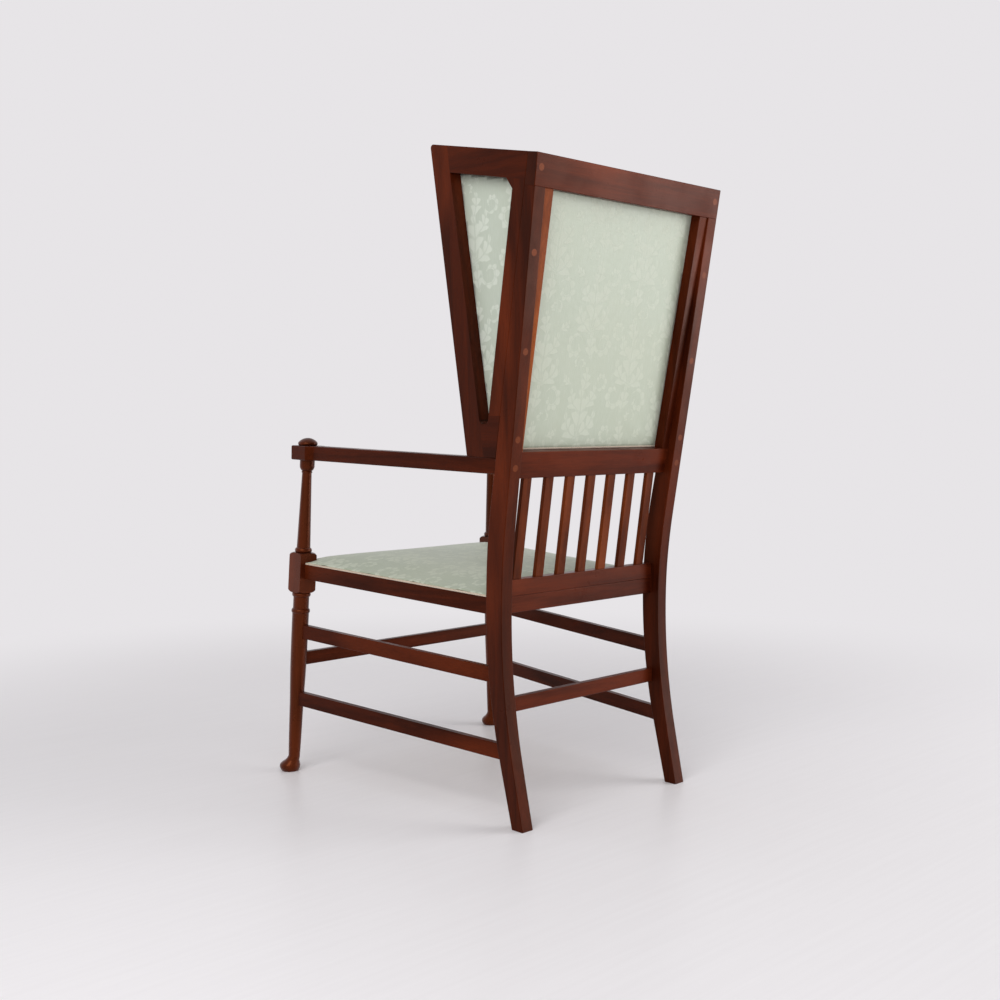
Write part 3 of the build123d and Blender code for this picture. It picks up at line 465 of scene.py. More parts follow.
LEAVES = ((0.002, 0.018, 88, 0.044, 0.0165, 0.004), (-0.024, -0.012, 132, 0.034, 0.0130, 0.013),
          (0.028, -0.016, 50, 0.034, 0.0130, -0.013), (-0.023, 0.038, 120, 0.027, 0.0108, 0.010),
          (0.027, 0.034, 58, 0.026, 0.0104, -0.010), (-0.003, 0.072, 100, 0.026, 0.0105, 0.006),
          (-0.002, -0.056, 84, 0.028, 0.0105, -0.004), (0.049, 0.070, 34, 0.015, 0.0064, -0.005))
FRONDS = ((-0.034, -0.050, 205, 0.0215, 0.0098), (0.037, -0.058, -35, 0.0200, 0.0092),
          (-0.042, 0.070, 150, 0.0155, 0.0070), (0.018, -0.088, 250, 0.0140, 0.0064))


def spray(point):
    """A spray: lobed leaves fanning out from a foot, and fronds curled at its sides."""
    masks = [add_motif(point, leaf_group, LEAF_SIZES, *leaf) for leaf in LEAVES]
    masks += [add_motif(point, frond_group, FROND_SIZES, *frond) for frond in FRONDS]
    return functools.reduce(larger, masks)


def threads(flat, way, per_metre, distortion, detail, detail_scale=1.0):
    """One set of threads, as soft bands that cross the X or the Y axis."""
    return result_of(flat.tree, "ShaderNodeTexWave",
                     {"Vector": flat, "Scale": per_metre, "Distortion": distortion,
                      "Detail": detail, "Detail Scale": detail_scale}, "Fac",
                     bands_direction=way)


def damask(name, turned, start, ground, figure_tone):
    made, tree, shader, place = start_material(name)
    flat = mapped(place, Rotation=turned, Location=start)
    centred = result_of(tree, "ShaderNodeVectorMath",
                        {0: mottle(flat, 45, 3, output="Color"), 1: (-0.5, -0.5, -0.5)})
    bent = result_of(tree, "ShaderNodeVectorMath",
                     {0: centred, 1: (WOBBLE, WOBBLE, 0.0), 2: flat},
                     operation="MULTIPLY_ADD")
    pattern = spray(folded(bent))
    weave = threads(flat, "X", 420, 0.8, 1) * threads(flat, "Y", 420, 0.8, 1)
    slubs = mottle(mapped(flat, Scale=(900, 60, 1)), 1, 3)
    tone = blend_colours(pattern, colour(ground), colour(figure_tone))
    tone = blend_colours(spread(mottle(place, 6, 4), 0.35, 0.75, 0.0, 0.22), tone,
                         colour("b9bda6"))
    tone = blend_colours(spread(slubs, 0.45, 0.8, 0.0, 0.10), tone, colour("ffffff"))
    set_inputs(tree, shader, {
        "Base Color": tone, "Roughness": spread(pattern, 0.0, 1.0, 0.40, 0.62),
        "Normal": relief(weave * 0.4 + pattern * 0.8, 0.35, 0.0003),
        "Sheen Weight": 0.12, "Sheen Roughness": 0.4, "Specular IOR Level": 0.45})
    return made


seat_damask = damask("damask_seat", (0, 0, 0), (0.03, 0.02, 0), "a9b29c", "c4cab8")
back_damask = damask("damask_back", (-math.pi / 2, 0, 0), (0.02, 0.05, 0), "b3bca9", "c3cab9")
wing_damask = damask("damask_wings", (0, -math.pi / 2, -math.pi / 2), (0.01, 0.03, 0),
                     "bbc4b5", "ced5c8")
print("cloths made: seat, back, wings")

# %% [markdown]
# ## Plain cloths
# Hessian and webbing are only seen from below, and the braid is a thin beige edging. They
# share one recipe: two crossing sets of threads at a chosen coarseness, with gaps between
# the threads drawn dark.

# %% Plain weave recipe
def plain_weave(name, turned, dark, light, per_metre):
    made, tree, shader, place = start_material(name)
    flat = mapped(place, Rotation=turned)
    dark, light = colour(dark), colour(light)
    height = larger(*[threads(flat, way, per_metre, 1.2, 2, 0.6) for way in "XY"])
    tone = blend_colours(spread(height, 0.25, 0.9), dark, light)
    tone = blend_colours(spread(mottle(place, 45, 4), 0.35, 0.7, 0.0, 0.3), tone, dark)
    set_inputs(tree, shader, {"Base Color": tone, "Normal": relief(height, 0.5, 0.0005),
                              "Roughness": 0.8, "Sheen Weight": 0.2})
    return made


hessian_cloth = plain_weave("hessian", (0, 0, 0), "5b4326", "a98b5c", 210)
back_hessian_cloth = plain_weave("hessian_back", (-math.pi / 2, 0, 0), "5b4326", "a98b5c", 210)
webbing_cloth = plain_weave("webbing", (0, 0, 0.785), "6d5535", "b39a6f", 330)
braid_thread = plain_weave("braid_thread", (0, 0, 0.6), "b09d87", "e4d4c1", 600)
print("plain cloths made: hessian, webbing, braid")

# %% [markdown]
# ## Working planes
# Upholstery is easiest to think about lying flat. The seat lies on a deck that slopes down
# to the back, the back panel leans with the posts, and each wing leans outward a little. A
# small class keeps such a plane. It reads a point as x, y and height over the plane, and
# puts it back in the room.

# %% Planes of the seat, the back and a wing
class Board:
    def __init__(self, origin, x_axis, height_axis):
        self.origin = np.array(origin, float)
        x_axis = np.array(x_axis, float)
        height_axis = np.array(height_axis, float)
        height_axis /= np.linalg.norm(height_axis)
        self.axes = np.array([x_axis, np.cross(height_axis, x_axis), height_axis])

    def read(self, places):
        return (places - self.origin) @ self.axes.T

    def place(self, local):
        return self.origin + np.asarray(local, float) @ self.axes


RAKE = math.radians(10.4353)
SPLAY = math.radians(1.8281)
POST_WIDTH = 0.0262
seat_deck = Board((0, 0.1969, 0.398963), (1, 0, 0), (0, 0.046062, 0.998939))
back_board = Board((0, 0.22991, 0.650), (1, 0, 0), (0, -math.cos(RAKE), math.sin(RAKE)))
wing_origin = (0.2293 - POST_WIDTH * math.cos(SPLAY), 0.1969,
               0.420 + POST_WIDTH * math.sin(SPLAY))
wing_board = Board(wing_origin, (0, -1, 0), (-math.cos(SPLAY), 0, math.sin(SPLAY)))
front_corner = seat_deck.read(np.array([0.27282, -0.30882, 0.42228]))
rear_corner = seat_deck.read(np.array([0.22507, 0.19672, 0.39897]))
lean = (front_corner[0] - rear_corner[0]) / (rear_corner[1] - front_corner[1])


def cover_x(y):
    """Half the width of the seat cover where it lies on the side rails."""
    return front_corner[0] - (y - front_corner[1]) * lean


print("planes ready: seat deck, back, left wing")

# %% [markdown]
# ## Cushions
# A padded piece starts from its solid in the frame, a little flattened. It is remeshed into
# even squares, and a short cloth simulation blows it up from inside while its edge and its
# underside are held. The cloth then finds its own crown and tension, as the filling would
# push it. How far any point may move is capped, and one round of subdivision smooths it.
# Even squares leave the side wall of a pad wavy, so it is straightened last.

# %% Helpers for meshes
def fresh_object(name, mesh):
    made = bpy.data.objects.new(name, mesh)
    scene.collection.objects.link(made)
    return made


def baked(piece):
    """The piece's mesh with its modifiers applied, as a plain mesh."""
    bpy.context.view_layer.update()
    return bpy.data.meshes.new_from_object(
        piece.evaluated_get(bpy.context.evaluated_depsgraph_get()))


def replace_mesh(piece, mesh):
    old = piece.data
    piece.modifiers.clear()
    piece.data = mesh
    bpy.data.meshes.remove(old)


def joined_up(node):
    """The mesh of a piece of the frame, with its loose triangles joined up."""
    joined = bmesh.new()
    joined.from_mesh(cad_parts[node].data)
    bmesh.ops.remove_doubles(joined, verts=joined.verts, dist=0.00002)
    return joined


def object_from(joined, name):
    mesh = bpy.data.meshes.new(name)
    joined.to_mesh(mesh)
    joined.free()
    return fresh_object(name, mesh)


def points_of(mesh, what="co"):
    """The place of every vertex, or with 'normal' the way it faces, one to a row."""
    rows = np.zeros(len(mesh.vertices) * 3)
    mesh.vertices.foreach_get(what, rows)
    return rows.reshape(-1, 3)


def put_points(mesh, places):
    mesh.vertices.foreach_set("co", np.ascontiguousarray(places, float).reshape(-1))
    mesh.update()


def read_flat(piece, board):
    return board.read(points_of(piece.data))


def put_flat(piece, board, local):
    put_points(piece.data, board.place(local))


def smooth_faces(mesh):
    mesh.polygons.foreach_set("use_smooth", [True] * len(mesh.polygons))


def mirrored_piece(piece, name):
    """The same piece on the chair's other side, with its faces turned outward again."""
    mesh = piece.data.copy()
    mesh.transform(Matrix.Scale(-1, 4, (1, 0, 0)))
    mesh.flip_normals()
    return fresh_object(name, mesh)


def distance_to(targets, places):
    """Distance in plan from each place to the nearest target."""
    tree = kdtree.KDTree(len(targets))
    for count, (x, y, height) in enumerate(targets):
        tree.insert((x, y, 0), count)
    tree.balance()
    return np.array([tree.find((x, y, 0))[2] for x, y, height in places])


def outline_of(node, board, level):
    """One flat face with the outline of a node's side that lies at a height of the board."""
    joined = joined_up(node)
    spare = [face for face in joined.faces
             if max(abs(board.read(np.array(v.co))[2] - level) for v in face.verts) >= 0.0001]
    bmesh.ops.delete(joined, geom=spare, context="FACES")
    bmesh.ops.dissolve_limit(joined, angle_limit=0.02, verts=joined.verts, edges=joined.edges)
    return joined


def apply_modifier(piece, kind, **settings):
    """Add a modifier and bake it into the mesh."""
    modifier = piece.modifiers.new(kind.lower(), kind)
    for key, value in settings.items():
        setattr(modifier, key, value)
    replace_mesh(piece, baked(piece))


def declare(piece, nodes, material=None):
    """Say what the piece rides on, which nodes it stands for, and its finish's slot."""
    if material:
        piece.data.materials.clear()
        piece.data.materials.append(material)
    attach(piece, "root")
    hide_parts(*nodes)


print("mesh helpers ready")

# %% Helpers for padded pieces
PRESSURE, FRAMES = 4.0, 20
EDGE_GAP = 0.0002
WALL_DEPTH, WALL_EASE = 0.006, 0.002
CLOTH = {"quality": 5, "mass": 0.3, "tension_stiffness": 15, "compression_stiffness": 15,
         "bending_stiffness": 0.5, "use_pressure": True, "uniform_pressure_force": PRESSURE,
         "vertex_group_mass": "held"}


def share_of(value, start, length):
    """0 up to the start, 1 from a length further on, and even in between."""
    return np.clip((value - start) / length, 0, 1)


def blow_up(piece, board, held, sideways, upward):
    """Inflate the piece; held points stay, and the rest move no further than the caps."""
    before = points_of(piece.data)
    group = piece.vertex_groups.new(name="held")
    group.add([int(i) for i in np.nonzero(held)[0]], 1.0, "REPLACE")
    cloth = piece.modifiers.new("filling", "CLOTH").settings
    for key, value in CLOTH.items():
        setattr(cloth, key, value)
    cloth.effector_weights.gravity = 0
    for step in range(1, FRAMES + 1):
        scene.frame_set(step)
    swollen = baked(piece)
    scene.frame_set(1)
    move = (points_of(swollen) - before) @ board.axes.T
    replace_mesh(piece, swollen)
    flat = np.linalg.norm(move[:, :2], axis=1)
    print(piece.name, "swelled by up to", flat.max(), "and", np.abs(move[:, 2]).max())
    move[:, :2] *= np.minimum(1.0, sideways / np.maximum(flat, 1e-9))[:, None]
    move[:, 2] = np.clip(move[:, 2], -upward / 4, upward)
    put_points(piece.data, before + move @ board.axes)


def set_crown(piece, board, rim, crown):
    """Scale what stands above the rim, so that the top is exactly as high as the crown."""
    local = read_flat(piece, board)
    above = local[:, 2] > rim
    top = float(local[:, 2].max())
    local[above, 2] = rim + (local[above, 2] - rim) * (crown - rim) / (top - rim)
    put_flat(piece, board, local)
    print(piece.name, "crown before it is set:", top)


def fill_outline(piece, node, board):
    """Stretch the piece in plan to the size of its node, which even squares cut short."""
    local, target = read_flat(piece, board), read_flat(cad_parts[node], board)
    for axis in (0, 1):
        low, high = local[:, axis].min(), local[:, axis].max()
        share = (local[:, axis] - low) / (high - low)
        bottom, top = target[:, axis].min() + EDGE_GAP, target[:, axis].max() - EDGE_GAP
        local[:, axis] = bottom + share * (top - bottom)
    put_flat(piece, board, local)


def inset_from(node, board, level, local):
    """How far inside a node's outline each point lies, and the way inward from there."""
    flat = outline_of(node, board, level)
    edges = [[board.read(np.array(v.co))[:2] for v in edge.verts] for edge in flat.edges
             if edge.is_boundary]
    middle = np.mean([end for edge in edges for end in edge], axis=0)
    flat.free()
    inset, inward = np.full(len(local), np.inf), np.zeros((len(local), 2))
    for start, end in edges:
        across = np.array([start[1] - end[1], end[0] - start[0]]) / np.linalg.norm(end - start)
        across *= np.sign(across @ (middle - start))
        depth = (local[:, :2] - start) @ across
        nearer = depth < inset
        inset[nearer], inward[nearer] = depth[nearer], across
    return inset, inward


def even_wall(piece, node, board, level):
    """Straighten the side wall, which even squares leave wavy: one inset at each height."""
    local = read_flat(piece, board)
    facing = points_of(piece.data, "normal") @ board.axes.T
    sideways = np.hypot(facing[:, 0], facing[:, 1])
    inset, inward = inset_from(node, board, level, local)
    wall = (sideways > 0.7) & (inset < WALL_DEPTH)
    usual = np.polyval(np.polyfit(local[wall, 2], inset[wall], 3), local[:, 2])
    away = inset - usual
    away *= share_of(sideways, 0.4, 0.3) * (1 - share_of(np.abs(away), WALL_EASE, WALL_EASE))
    print(piece.name, "wall straightened by up to", np.abs(away).max().round(4))
    local[:, :2] -= inward * away[:, None]
    put_flat(piece, board, local)


def finish_pad(piece, material, nodes, board, level=None):
    apply_modifier(piece, "SUBSURF", levels=1, render_levels=1)
    fill_outline(piece, nodes[0], board)
    if level is not None:
        even_wall(piece, nodes[0], board, level)
    smooth_faces(piece.data)
    declare(piece, nodes, material)
    print(piece.name, "has", len(piece.data.vertices), "points")


print("cushion helpers ready")

# %% [markdown]
# ## Seat cushion
# The seat is stuffed over its rails, domed, and cut round the two front leg blocks. Its
# cover is tacked down along the rails, so its foot reaches lower there than in the middle,
# where the stuffing lies on hessian. The foot and the underside are held while the rest
# swells. Then the foot is drawn out to a straight line, as the tacks hold it.

# %% Make the seat cushion
SEAT_VOXEL, SEAT_CROWN, SEAT_RIM, SEAT_SHRINK = 0.0055, 0.0298, 0.006, 0.82
HESSIAN_TOP, DECK_GAP = 0.0041, 0.0003
FOOT_TOP, WALL_TOP, TUCK_DEPTH, TUCK_REACH = 0.013, 0.009, 0.0042, 0.040
BLOCK_HALF = 0.0198
REAR_LIMIT = 0.1966
LEG_FOOT, LEG_LEAN, LEG_TOP = (0.280, -0.3149), (-0.0242, 0.0205), 0.645
LEG_AT_SEAT = (0.2642, -0.3015, 0.42)


def round_leg_blocks(places):
    """Push points that fall inside a front leg's block out to its nearer inner face."""
    share = places[:, 2] / LEG_TOP
    block_x = LEG_FOOT[0] + LEG_LEAN[0] * share - BLOCK_HALF
    block_y = LEG_FOOT[1] + LEG_LEAN[1] * share + BLOCK_HALF
    side = np.sign(places[:, 0])
    into_x = np.abs(places[:, 0]) - block_x
    into_y = block_y - places[:, 1]
    inside = (into_x > 0) & (into_y > 0)
    by_x = inside & (into_x < into_y)
    by_y = inside & ~by_x
    places[by_x, 0] = (side * block_x)[by_x]
    places[by_y, 1] = block_y[by_y]
    return places


def tack_foot(piece):
    """Draw the foot out to a straight line along the rails, and tuck it down at the blocks."""
    local = read_flat(piece, seat_deck)
    facing = points_of(piece.data, "normal") @ seat_deck.axes.T
    side = np.sign(local[:, 0])
    from_side = cover_x(local[:, 1]) - EDGE_GAP - np.abs(local[:, 0])
    from_front = local[:, 1] - front_corner[1] - EDGE_GAP
    low = 1 - share_of(local[:, 2], SEAT_RIM, FOOT_TOP - SEAT_RIM)
    for axis, away, short in ((0, side, from_side), (1, -1.0, from_front)):
        wall = low * share_of(facing[:, axis] * away, 0.3, 0.3)
        local[:, axis] += away * short * wall * (1 - share_of(short, 0.010, 0.004))
    limit = np.where(local[:, 2] < FOOT_TOP, cover_x(local[:, 1]) - EDGE_GAP, np.inf)
    local[:, 0] = np.clip(local[:, 0], -limit, limit)
    block = seat_deck.read(np.array(LEG_AT_SEAT) + (-BLOCK_HALF, BLOCK_HALF, 0))
    away = np.hypot(np.maximum(block[0] - np.abs(local[:, 0]), 0),
                    np.maximum(local[:, 1] - block[1], 0))
    near = (1 - share_of(away, 0, TUCK_REACH)) ** 2
    local[:, 2] -= TUCK_DEPTH * near * share_of(local[:, 2], 0.004, 0.004)
    places = round_leg_blocks(seat_deck.place(local))
    places[:, 1] = np.minimum(places[:, 1], REAR_LIMIT)
    put_points(piece.data, places)
    print(piece.name, "foot tacked down")


seat_cushion = object_from(joined_up("seat_stuffing"), "seat_cushion")
local = read_flat(seat_cushion, seat_deck)
local[local[:, 2] < SEAT_RIM, 2] = DECK_GAP
put_flat(seat_cushion, seat_deck, local)
apply_modifier(seat_cushion, "REMESH", mode="VOXEL", voxel_size=SEAT_VOXEL)
local = read_flat(seat_cushion, seat_deck)
underside = points_of(seat_cushion.data, "normal") @ seat_deck.axes[2] < -0.6
wall = ~underside & (local[:, 2] < WALL_TOP)
lift = share_of(distance_to(local[wall], local), 0.003, 0.002) * (HESSIAN_TOP - DECK_GAP)
local[:, 2] = np.maximum(local[:, 2], DECK_GAP)
local[underside, 2] += lift[underside]
free = local[:, 2] > SEAT_RIM
local[free, 2] = SEAT_RIM + (local[free, 2] - SEAT_RIM) * SEAT_SHRINK
put_flat(seat_cushion, seat_deck, local)
blow_up(seat_cushion, seat_deck, local[:, 2] < SEAT_RIM, sideways=0.0022, upward=0.012)
set_crown(seat_cushion, seat_deck, SEAT_RIM, SEAT_CROWN)
finish_pad(seat_cushion, seat_damask, ("seat_cover", "seat_stuffing"), seat_deck)
tack_foot(seat_cushion)

# %% [markdown]
# ## Back cushion and wing cushions
# The back is padded on its front side only, like a shallow pillow framed by the posts, and
# each wing has a slimmer pad of the same kind. Their rims are tacked to the wood, under the
# braid. The right wing is the left one mirrored, so it is made once.

# %% Make the back and wing cushions
PAD_SHRINK = 0.8


def pad_from(node, name, board, voxel, rim, sideways, upward, crown):
    """A pad whose back lies on the board: remeshed, blown up, and set to its crown."""
    pad = object_from(joined_up(node), name)
    apply_modifier(pad, "REMESH", mode="VOXEL", voxel_size=voxel)
    local = read_flat(pad, board)
    free = local[:, 2] > rim
    local[free, 2] = rim + (local[free, 2] - rim) * PAD_SHRINK
    put_flat(pad, board, local)
    blow_up(pad, board, ~free, sideways, upward)
    set_crown(pad, board, rim, crown)
    return pad


back_cushion = pad_from("back_pad", "back_cushion", back_board, voxel=0.0055, rim=0.0045,
                        sideways=0.002, upward=0.012, crown=0.0255)
left_wing_cushion = pad_from("wing_pad_left", "wing_cushion_left", wing_board, voxel=0.0045,
                             rim=0.0030, sideways=0.0015, upward=0.008, crown=0.0135)
right_wing_board = Board(wing_board.origin * (-1, 1, 1), (0, -1, 0),
                         wing_board.axes[2] * (-1, 1, 1))
right_wing_cushion = mirrored_piece(left_wing_cushion, "wing_cushion_right")
finish_pad(back_cushion, back_damask, ("back_pad",), back_board, 0.001)
finish_pad(left_wing_cushion, wing_damask, ("wing_pad_left",), wing_board, 0.0)
finish_pad(right_wing_cushion, wing_damask, ("wing_pad_right",), right_wing_board, 0.0)

# %% [markdown]
# ## Outside cloths and hessian
# Behind the back and outside each wing a single cloth is stretched in the opening of the
# frame. It has no filling, so it is a sheet: its outline is the piece's outline, cut into a
# fine grid. A stretched cloth is never quite flat. The filling behind it pushes it out a
# little between its edges, and faint pulls run in from the tacks. The hessian under the
# stuffing is made the same way.

# %% Make the stretched sheets
GRID, CLOTH_THICKNESS = 0.008, 0.0008


def cut_into_grid(flat, board, pitch):
    for axis in (0, 1):
        direction = Vector(board.axes[axis])
        reach = [board.read(np.array(v.co))[axis] for v in flat.verts]
        step = math.floor(min(reach) / pitch) + 1
        while step * pitch < max(reach):
            point = Vector(board.origin) + direction * (step * pitch)
            bmesh.ops.bisect_plane(flat, geom=flat.verts[:] + flat.edges[:] + flat.faces[:],
                                   plane_co=point, plane_no=direction)
            step += 1


def stretched(node, name, board, level, shape, material, mirror=False):
    """A sheet in place of a node; shape gives each point's offset along the board's height."""
    flat = outline_of(node, board, level)
    cut_into_grid(flat, board, GRID)
    area = sum(face.calc_area() for face in flat.faces)
    outward = Vector(board.axes[2])
    local = board.read(np.array([v.co for v in flat.verts]))
    reach = distance_to(local[[v.is_boundary for v in flat.verts]], local)
    for vertex, edge, place in zip(flat.verts, reach, local):
        vertex.co += outward * shape(place[0], place[1], edge)
    uv = flat.loops.layers.uv.new("cloth")
    for face in flat.faces:
        face.smooth = True
        for loop in face.loops:
            loop[uv].uv = board.read(np.array(loop.vert.co))[:2]
    piece = object_from(flat, name)
    apply_modifier(piece, "SOLIDIFY", thickness=CLOTH_THICKNESS, offset=-1)
    made = [piece]
    if mirror:
        made.append(mirrored_piece(piece, name.replace("left", "right")))
    for part in made:
        side = part.name.rsplit("_", 1)[-1] if mirror else "left"
        declare(part, [node.replace("left", side)], material)


BACK_SWELL, WING_SWELL = 0.0022, 0.0014
PULL_DEPTH, CREASE_DEPTH, RIPPLE_DEPTH = 0.0009, 0.0004, 0.0004
LOWER_CORNER = (0.1950, 0.0086)


def ripple(x, y, seed, edge):
    """A faint unevenness, which dies out towards the tacked edge."""
    return RIPPLE_DEPTH * (1 + noise.noise(Vector((x, y, seed)))) * min(1.0, edge / 0.02)


def back_cloth_shape(x, y, edge):
    """Pushed out a little by the filling, with soft pulls fanning out of the lower corners."""
    pulls = 0.0
    for side in (-1, 1):
        dx, dy = LOWER_CORNER[0] + side * x, y - LOWER_CORNER[1]
        fade = min(1.0, edge / 0.008) * math.exp(-math.hypot(dx, dy) / 0.075)
        pulls += PULL_DEPTH * (1 + math.sin(math.atan2(dy, dx) * 15 + 0.6)) * fade
    swell = BACK_SWELL * (1 - math.exp(-edge / 0.045))
    return swell + pulls + ripple(x * 14, y * 14, 2.0, edge)


def wing_cloth_shape(x, y, edge):
    """The same, with short creases drawn in from the tacks along its two long edges."""
    fade = min(1.0, edge / 0.004) * math.exp(-edge / 0.012)
    creases = CREASE_DEPTH * (1 + math.sin(y * 330 + 9 * x)) * fade
    swell = WING_SWELL * (1 - math.exp(-edge / 0.03))
    return swell + creases + ripple(x * 20, y * 12, 5.0, edge)


def level_shape(x, y, edge):
    return 0.00015 * noise.noise(Vector((x * 30, y * 30, 9.0))) * min(1.0, edge / 0.01)


behind_back = Board(back_board.origin, (-1, 0, 0), -back_board.axes[2])
outside_wing = Board(wing_board.origin, (0, 1, 0), -wing_board.axes[2])
stretched("outside_back_cloth", "outside_back_sheet", behind_back, 0.0012,
          back_cloth_shape, back_damask)
stretched("wing_outside_cloth_left", "wing_outside_sheet_left", outside_wing, 0.0012,
          wing_cloth_shape, wing_damask,
          True)
in_back = Board(back_board.place((0, 0, 0)), (1, 0, 0), back_board.axes[2])
stretched("back_hessian", "back_hessian_sheet", in_back, 0.001, level_shape,
          back_hessian_cloth)
stretched("seat_hessian", "seat_hessian_sheet", seat_deck, 0.004, level_shape,
          hessian_cloth)
print("sheets made")

# %% [markdown]
# ## Braid
# A narrow braid hides the tacks along every edge of the cover. It is a plait, so one grain
# of thread repeats along its length in two slanting rows. Geometry Nodes are made for
# this: a path is divided by the length of one grain, a grain is set at every division in
# each row, and a round cord fills the middle. The path is drawn flat on the working plane,
# and the finished braid is then put in its place.

# %% A Geometry Nodes tree for braid
BRAID = {"Pitch": 0.0022, "Width": 0.004, "Thickness": 0.0022, "Slant": 0.62}


def start_tree(name, inputs):
    tree = bpy.data.node_groups.new(name, "GeometryNodeTree")
    tree.interface.new_socket("Path", in_out="INPUT", socket_type="NodeSocketGeometry")
    for label, value in inputs.items():
        made = tree.interface.new_socket(label, in_out="INPUT", socket_type="NodeSocketFloat")
        made.default_value = value
    tree.interface.new_socket("Finish", in_out="INPUT", socket_type="NodeSocketMaterial")
    tree.interface.new_socket("Result", in_out="OUTPUT", socket_type="NodeSocketGeometry")
    return tree, outputs_of(tree, "NodeGroupInput")


def end_tree(tree, geometry, finish):
    real = result_of(tree, "GeometryNodeRealizeInstances", {0: geometry})
    finished = result_of(tree, "GeometryNodeSetMaterial",
                         {"Geometry": real, "Material": finish})
    add_node(tree, "NodeGroupOutput", {"Result": finished})
    return tree


def even_steps(tree, path, length):
    """The path as a curve with its points a set length apart."""
    return result_of(tree, "GeometryNodeResampleCurve", {"Curve": path, "Length": length},
                     mode="LENGTH")


def turned_by(rotation, turn):
    return result_of(turn.tree, "FunctionNodeRotateRotation", {0: rotation, 1: turn},
                     rotation_space="LOCAL")


def make_braid_tree():
    tree, given = start_tree("braid", dict(BRAID, Lean=0.0))
    path = result_of(tree, "GeometryNodeMeshToCurve", {"Mesh": given["Path"]})
    path = even_steps(tree, path, given["Pitch"])
    upright = result_of(tree, "FunctionNodeAxesToRotation",
                        {"Primary Axis": (0, 0, 1),
                         "Secondary Axis": result_of(tree, "GeometryNodeInputTangent")},
                        primary_axis="Z", secondary_axis="X")
    leaned = turned_by(upright, combine(tree, x=given["Lean"]))
    grain = result_of(tree, "GeometryNodeMeshUVSphere",
                      {"Segments": 7, "Rings": 4, "Radius": 1.0})
    size = combine(tree, given["Pitch"] * 0.86, given["Width"] * 0.20,
                   given["Thickness"] * 0.42)
    joined = add_node(tree, "GeometryNodeJoinGeometry")
    for side in (-1, 1):
        aside = result_of(tree, "FunctionNodeRotateVector",
                          {0: combine(tree, y=given["Width"] * (side * 0.22)), 1: leaned})
        row = result_of(tree, "GeometryNodeSetPosition", {"Geometry": path, "Offset": aside})
        slanted = turned_by(leaned, combine(tree, z=given["Slant"] * side))
        grains = result_of(tree, "GeometryNodeInstanceOnPoints",
                           {"Points": row, "Instance": grain, "Rotation": slanted,
                            "Scale": size})
        tree.links.new(grains.socket, joined.inputs[0])
    round_cord = result_of(tree, "GeometryNodeCurvePrimitiveCircle",
                           {"Resolution": 6, "Radius": given["Thickness"] * 0.36})
    cord = result_of(tree, "GeometryNodeCurveToMesh",
                     {"Curve": even_steps(tree, path, 0.008), "Profile Curve": round_cord,
                      "Fill Caps": True})
    tree.links.new(cord.socket, joined.inputs[0])
    return end_tree(tree, Value(tree, joined.outputs[0]), given["Finish"])


braid_tree = make_braid_tree()
print("braid tree with", len(braid_tree.nodes), "nodes")

# %% Helpers for paths
def rounded(points, radius, steps=6):
    """A closed path through a polygon's corners, each rounded by an arc-like curve."""
    path = []
    count = len(points)
    for i, corner in enumerate(points):
        corner = np.array(corner, float)
        arms = []
        for other in (points[i - 1], points[(i + 1) % count]):
            arm = np.array(other, float) - corner
            arms.append(arm / np.linalg.norm(arm))
        half = math.acos(float(np.clip(np.dot(*arms), -1, 1))) / 2
        cut = radius / math.tan(half)
        start, end = corner + arms[0] * cut, corner + arms[1] * cut
        for step in range(steps + 1):
            t = step / steps
            path.append((1 - t) ** 2 * start + 2 * t * (1 - t) * corner + t * t * end)
    return path


def grown(points, distance):
    """A convex polygon, anticlockwise, with each side moved out by a distance."""
    lines = []
    for a, b in zip(points, points[1:] + points[:1]):
        a, b = np.array(a, float), np.array(b, float)
        along = (b - a) / np.linalg.norm(b - a)
        lines.append((a + np.array((along[1], -along[0])) * distance, along))
    corners = []
    for (p, d), (q, e) in zip(lines[-1:] + lines[:-1], lines):
        t = ((q - p)[0] * e[1] - (q - p)[1] * e[0]) / (d[0] * e[1] - d[1] * e[0])
        corners.append(tuple(p + d * t))
    return corners


def path_object(name, paths, closed, height):
    mesh = bpy.data.meshes.new(name)
    points, edges = [], []
    for path in paths:
        first = len(points)
        points += [(p[0], p[1], height) for p in path]
        edges += [(i, i + 1) for i in range(first, len(points) - 1)]
        if closed:
            edges.append((len(points) - 1, first))
    mesh.from_pydata(points, edges, [])
    return fresh_object(name, mesh)


def grow_along(piece, tree, finish, board, sizes):
    """Run the tree on the flat path, make it a mesh, and put it in its place."""
    grower = piece.modifiers.new("grower", "NODES")
    grower.node_group = tree
    for item in tree.interface.items_tree:
        if item.item_type == "SOCKET" and item.in_out == "INPUT" and item.name in sizes:
            grower[item.identifier] = sizes[item.name]
        if item.item_type == "SOCKET" and item.name == "Finish":
            grower[item.identifier] = finish
    replace_mesh(piece, baked(piece))
    put_points(piece.data, board.place(points_of(piece.data)))
    smooth_faces(piece.data)
    return piece


def declare_trim(piece, nodes):
    declare(piece, nodes)
    print(piece.name, "triangles", sum(len(p.vertices) - 2 for p in piece.data.polygons))


print("path helpers ready")

# %% Braid round the back, the wings and the seat
BRAID_LEVEL = 0.0011


def make_braid(name, paths, board, closed=True, height=BRAID_LEVEL, **sizes):
    piece = path_object(name, paths, closed, height)
    return grow_along(piece, braid_tree, braid_thread, board, dict(BRAID, **sizes))


back_opening = [(-0.1936, 0.0086), (0.1936, 0.0086), (0.2021, 0.4573), (-0.2021, 0.4573)]
back_braid = make_braid("back_braid", [rounded(grown(back_opening, 0.014), 0.008)], in_back)

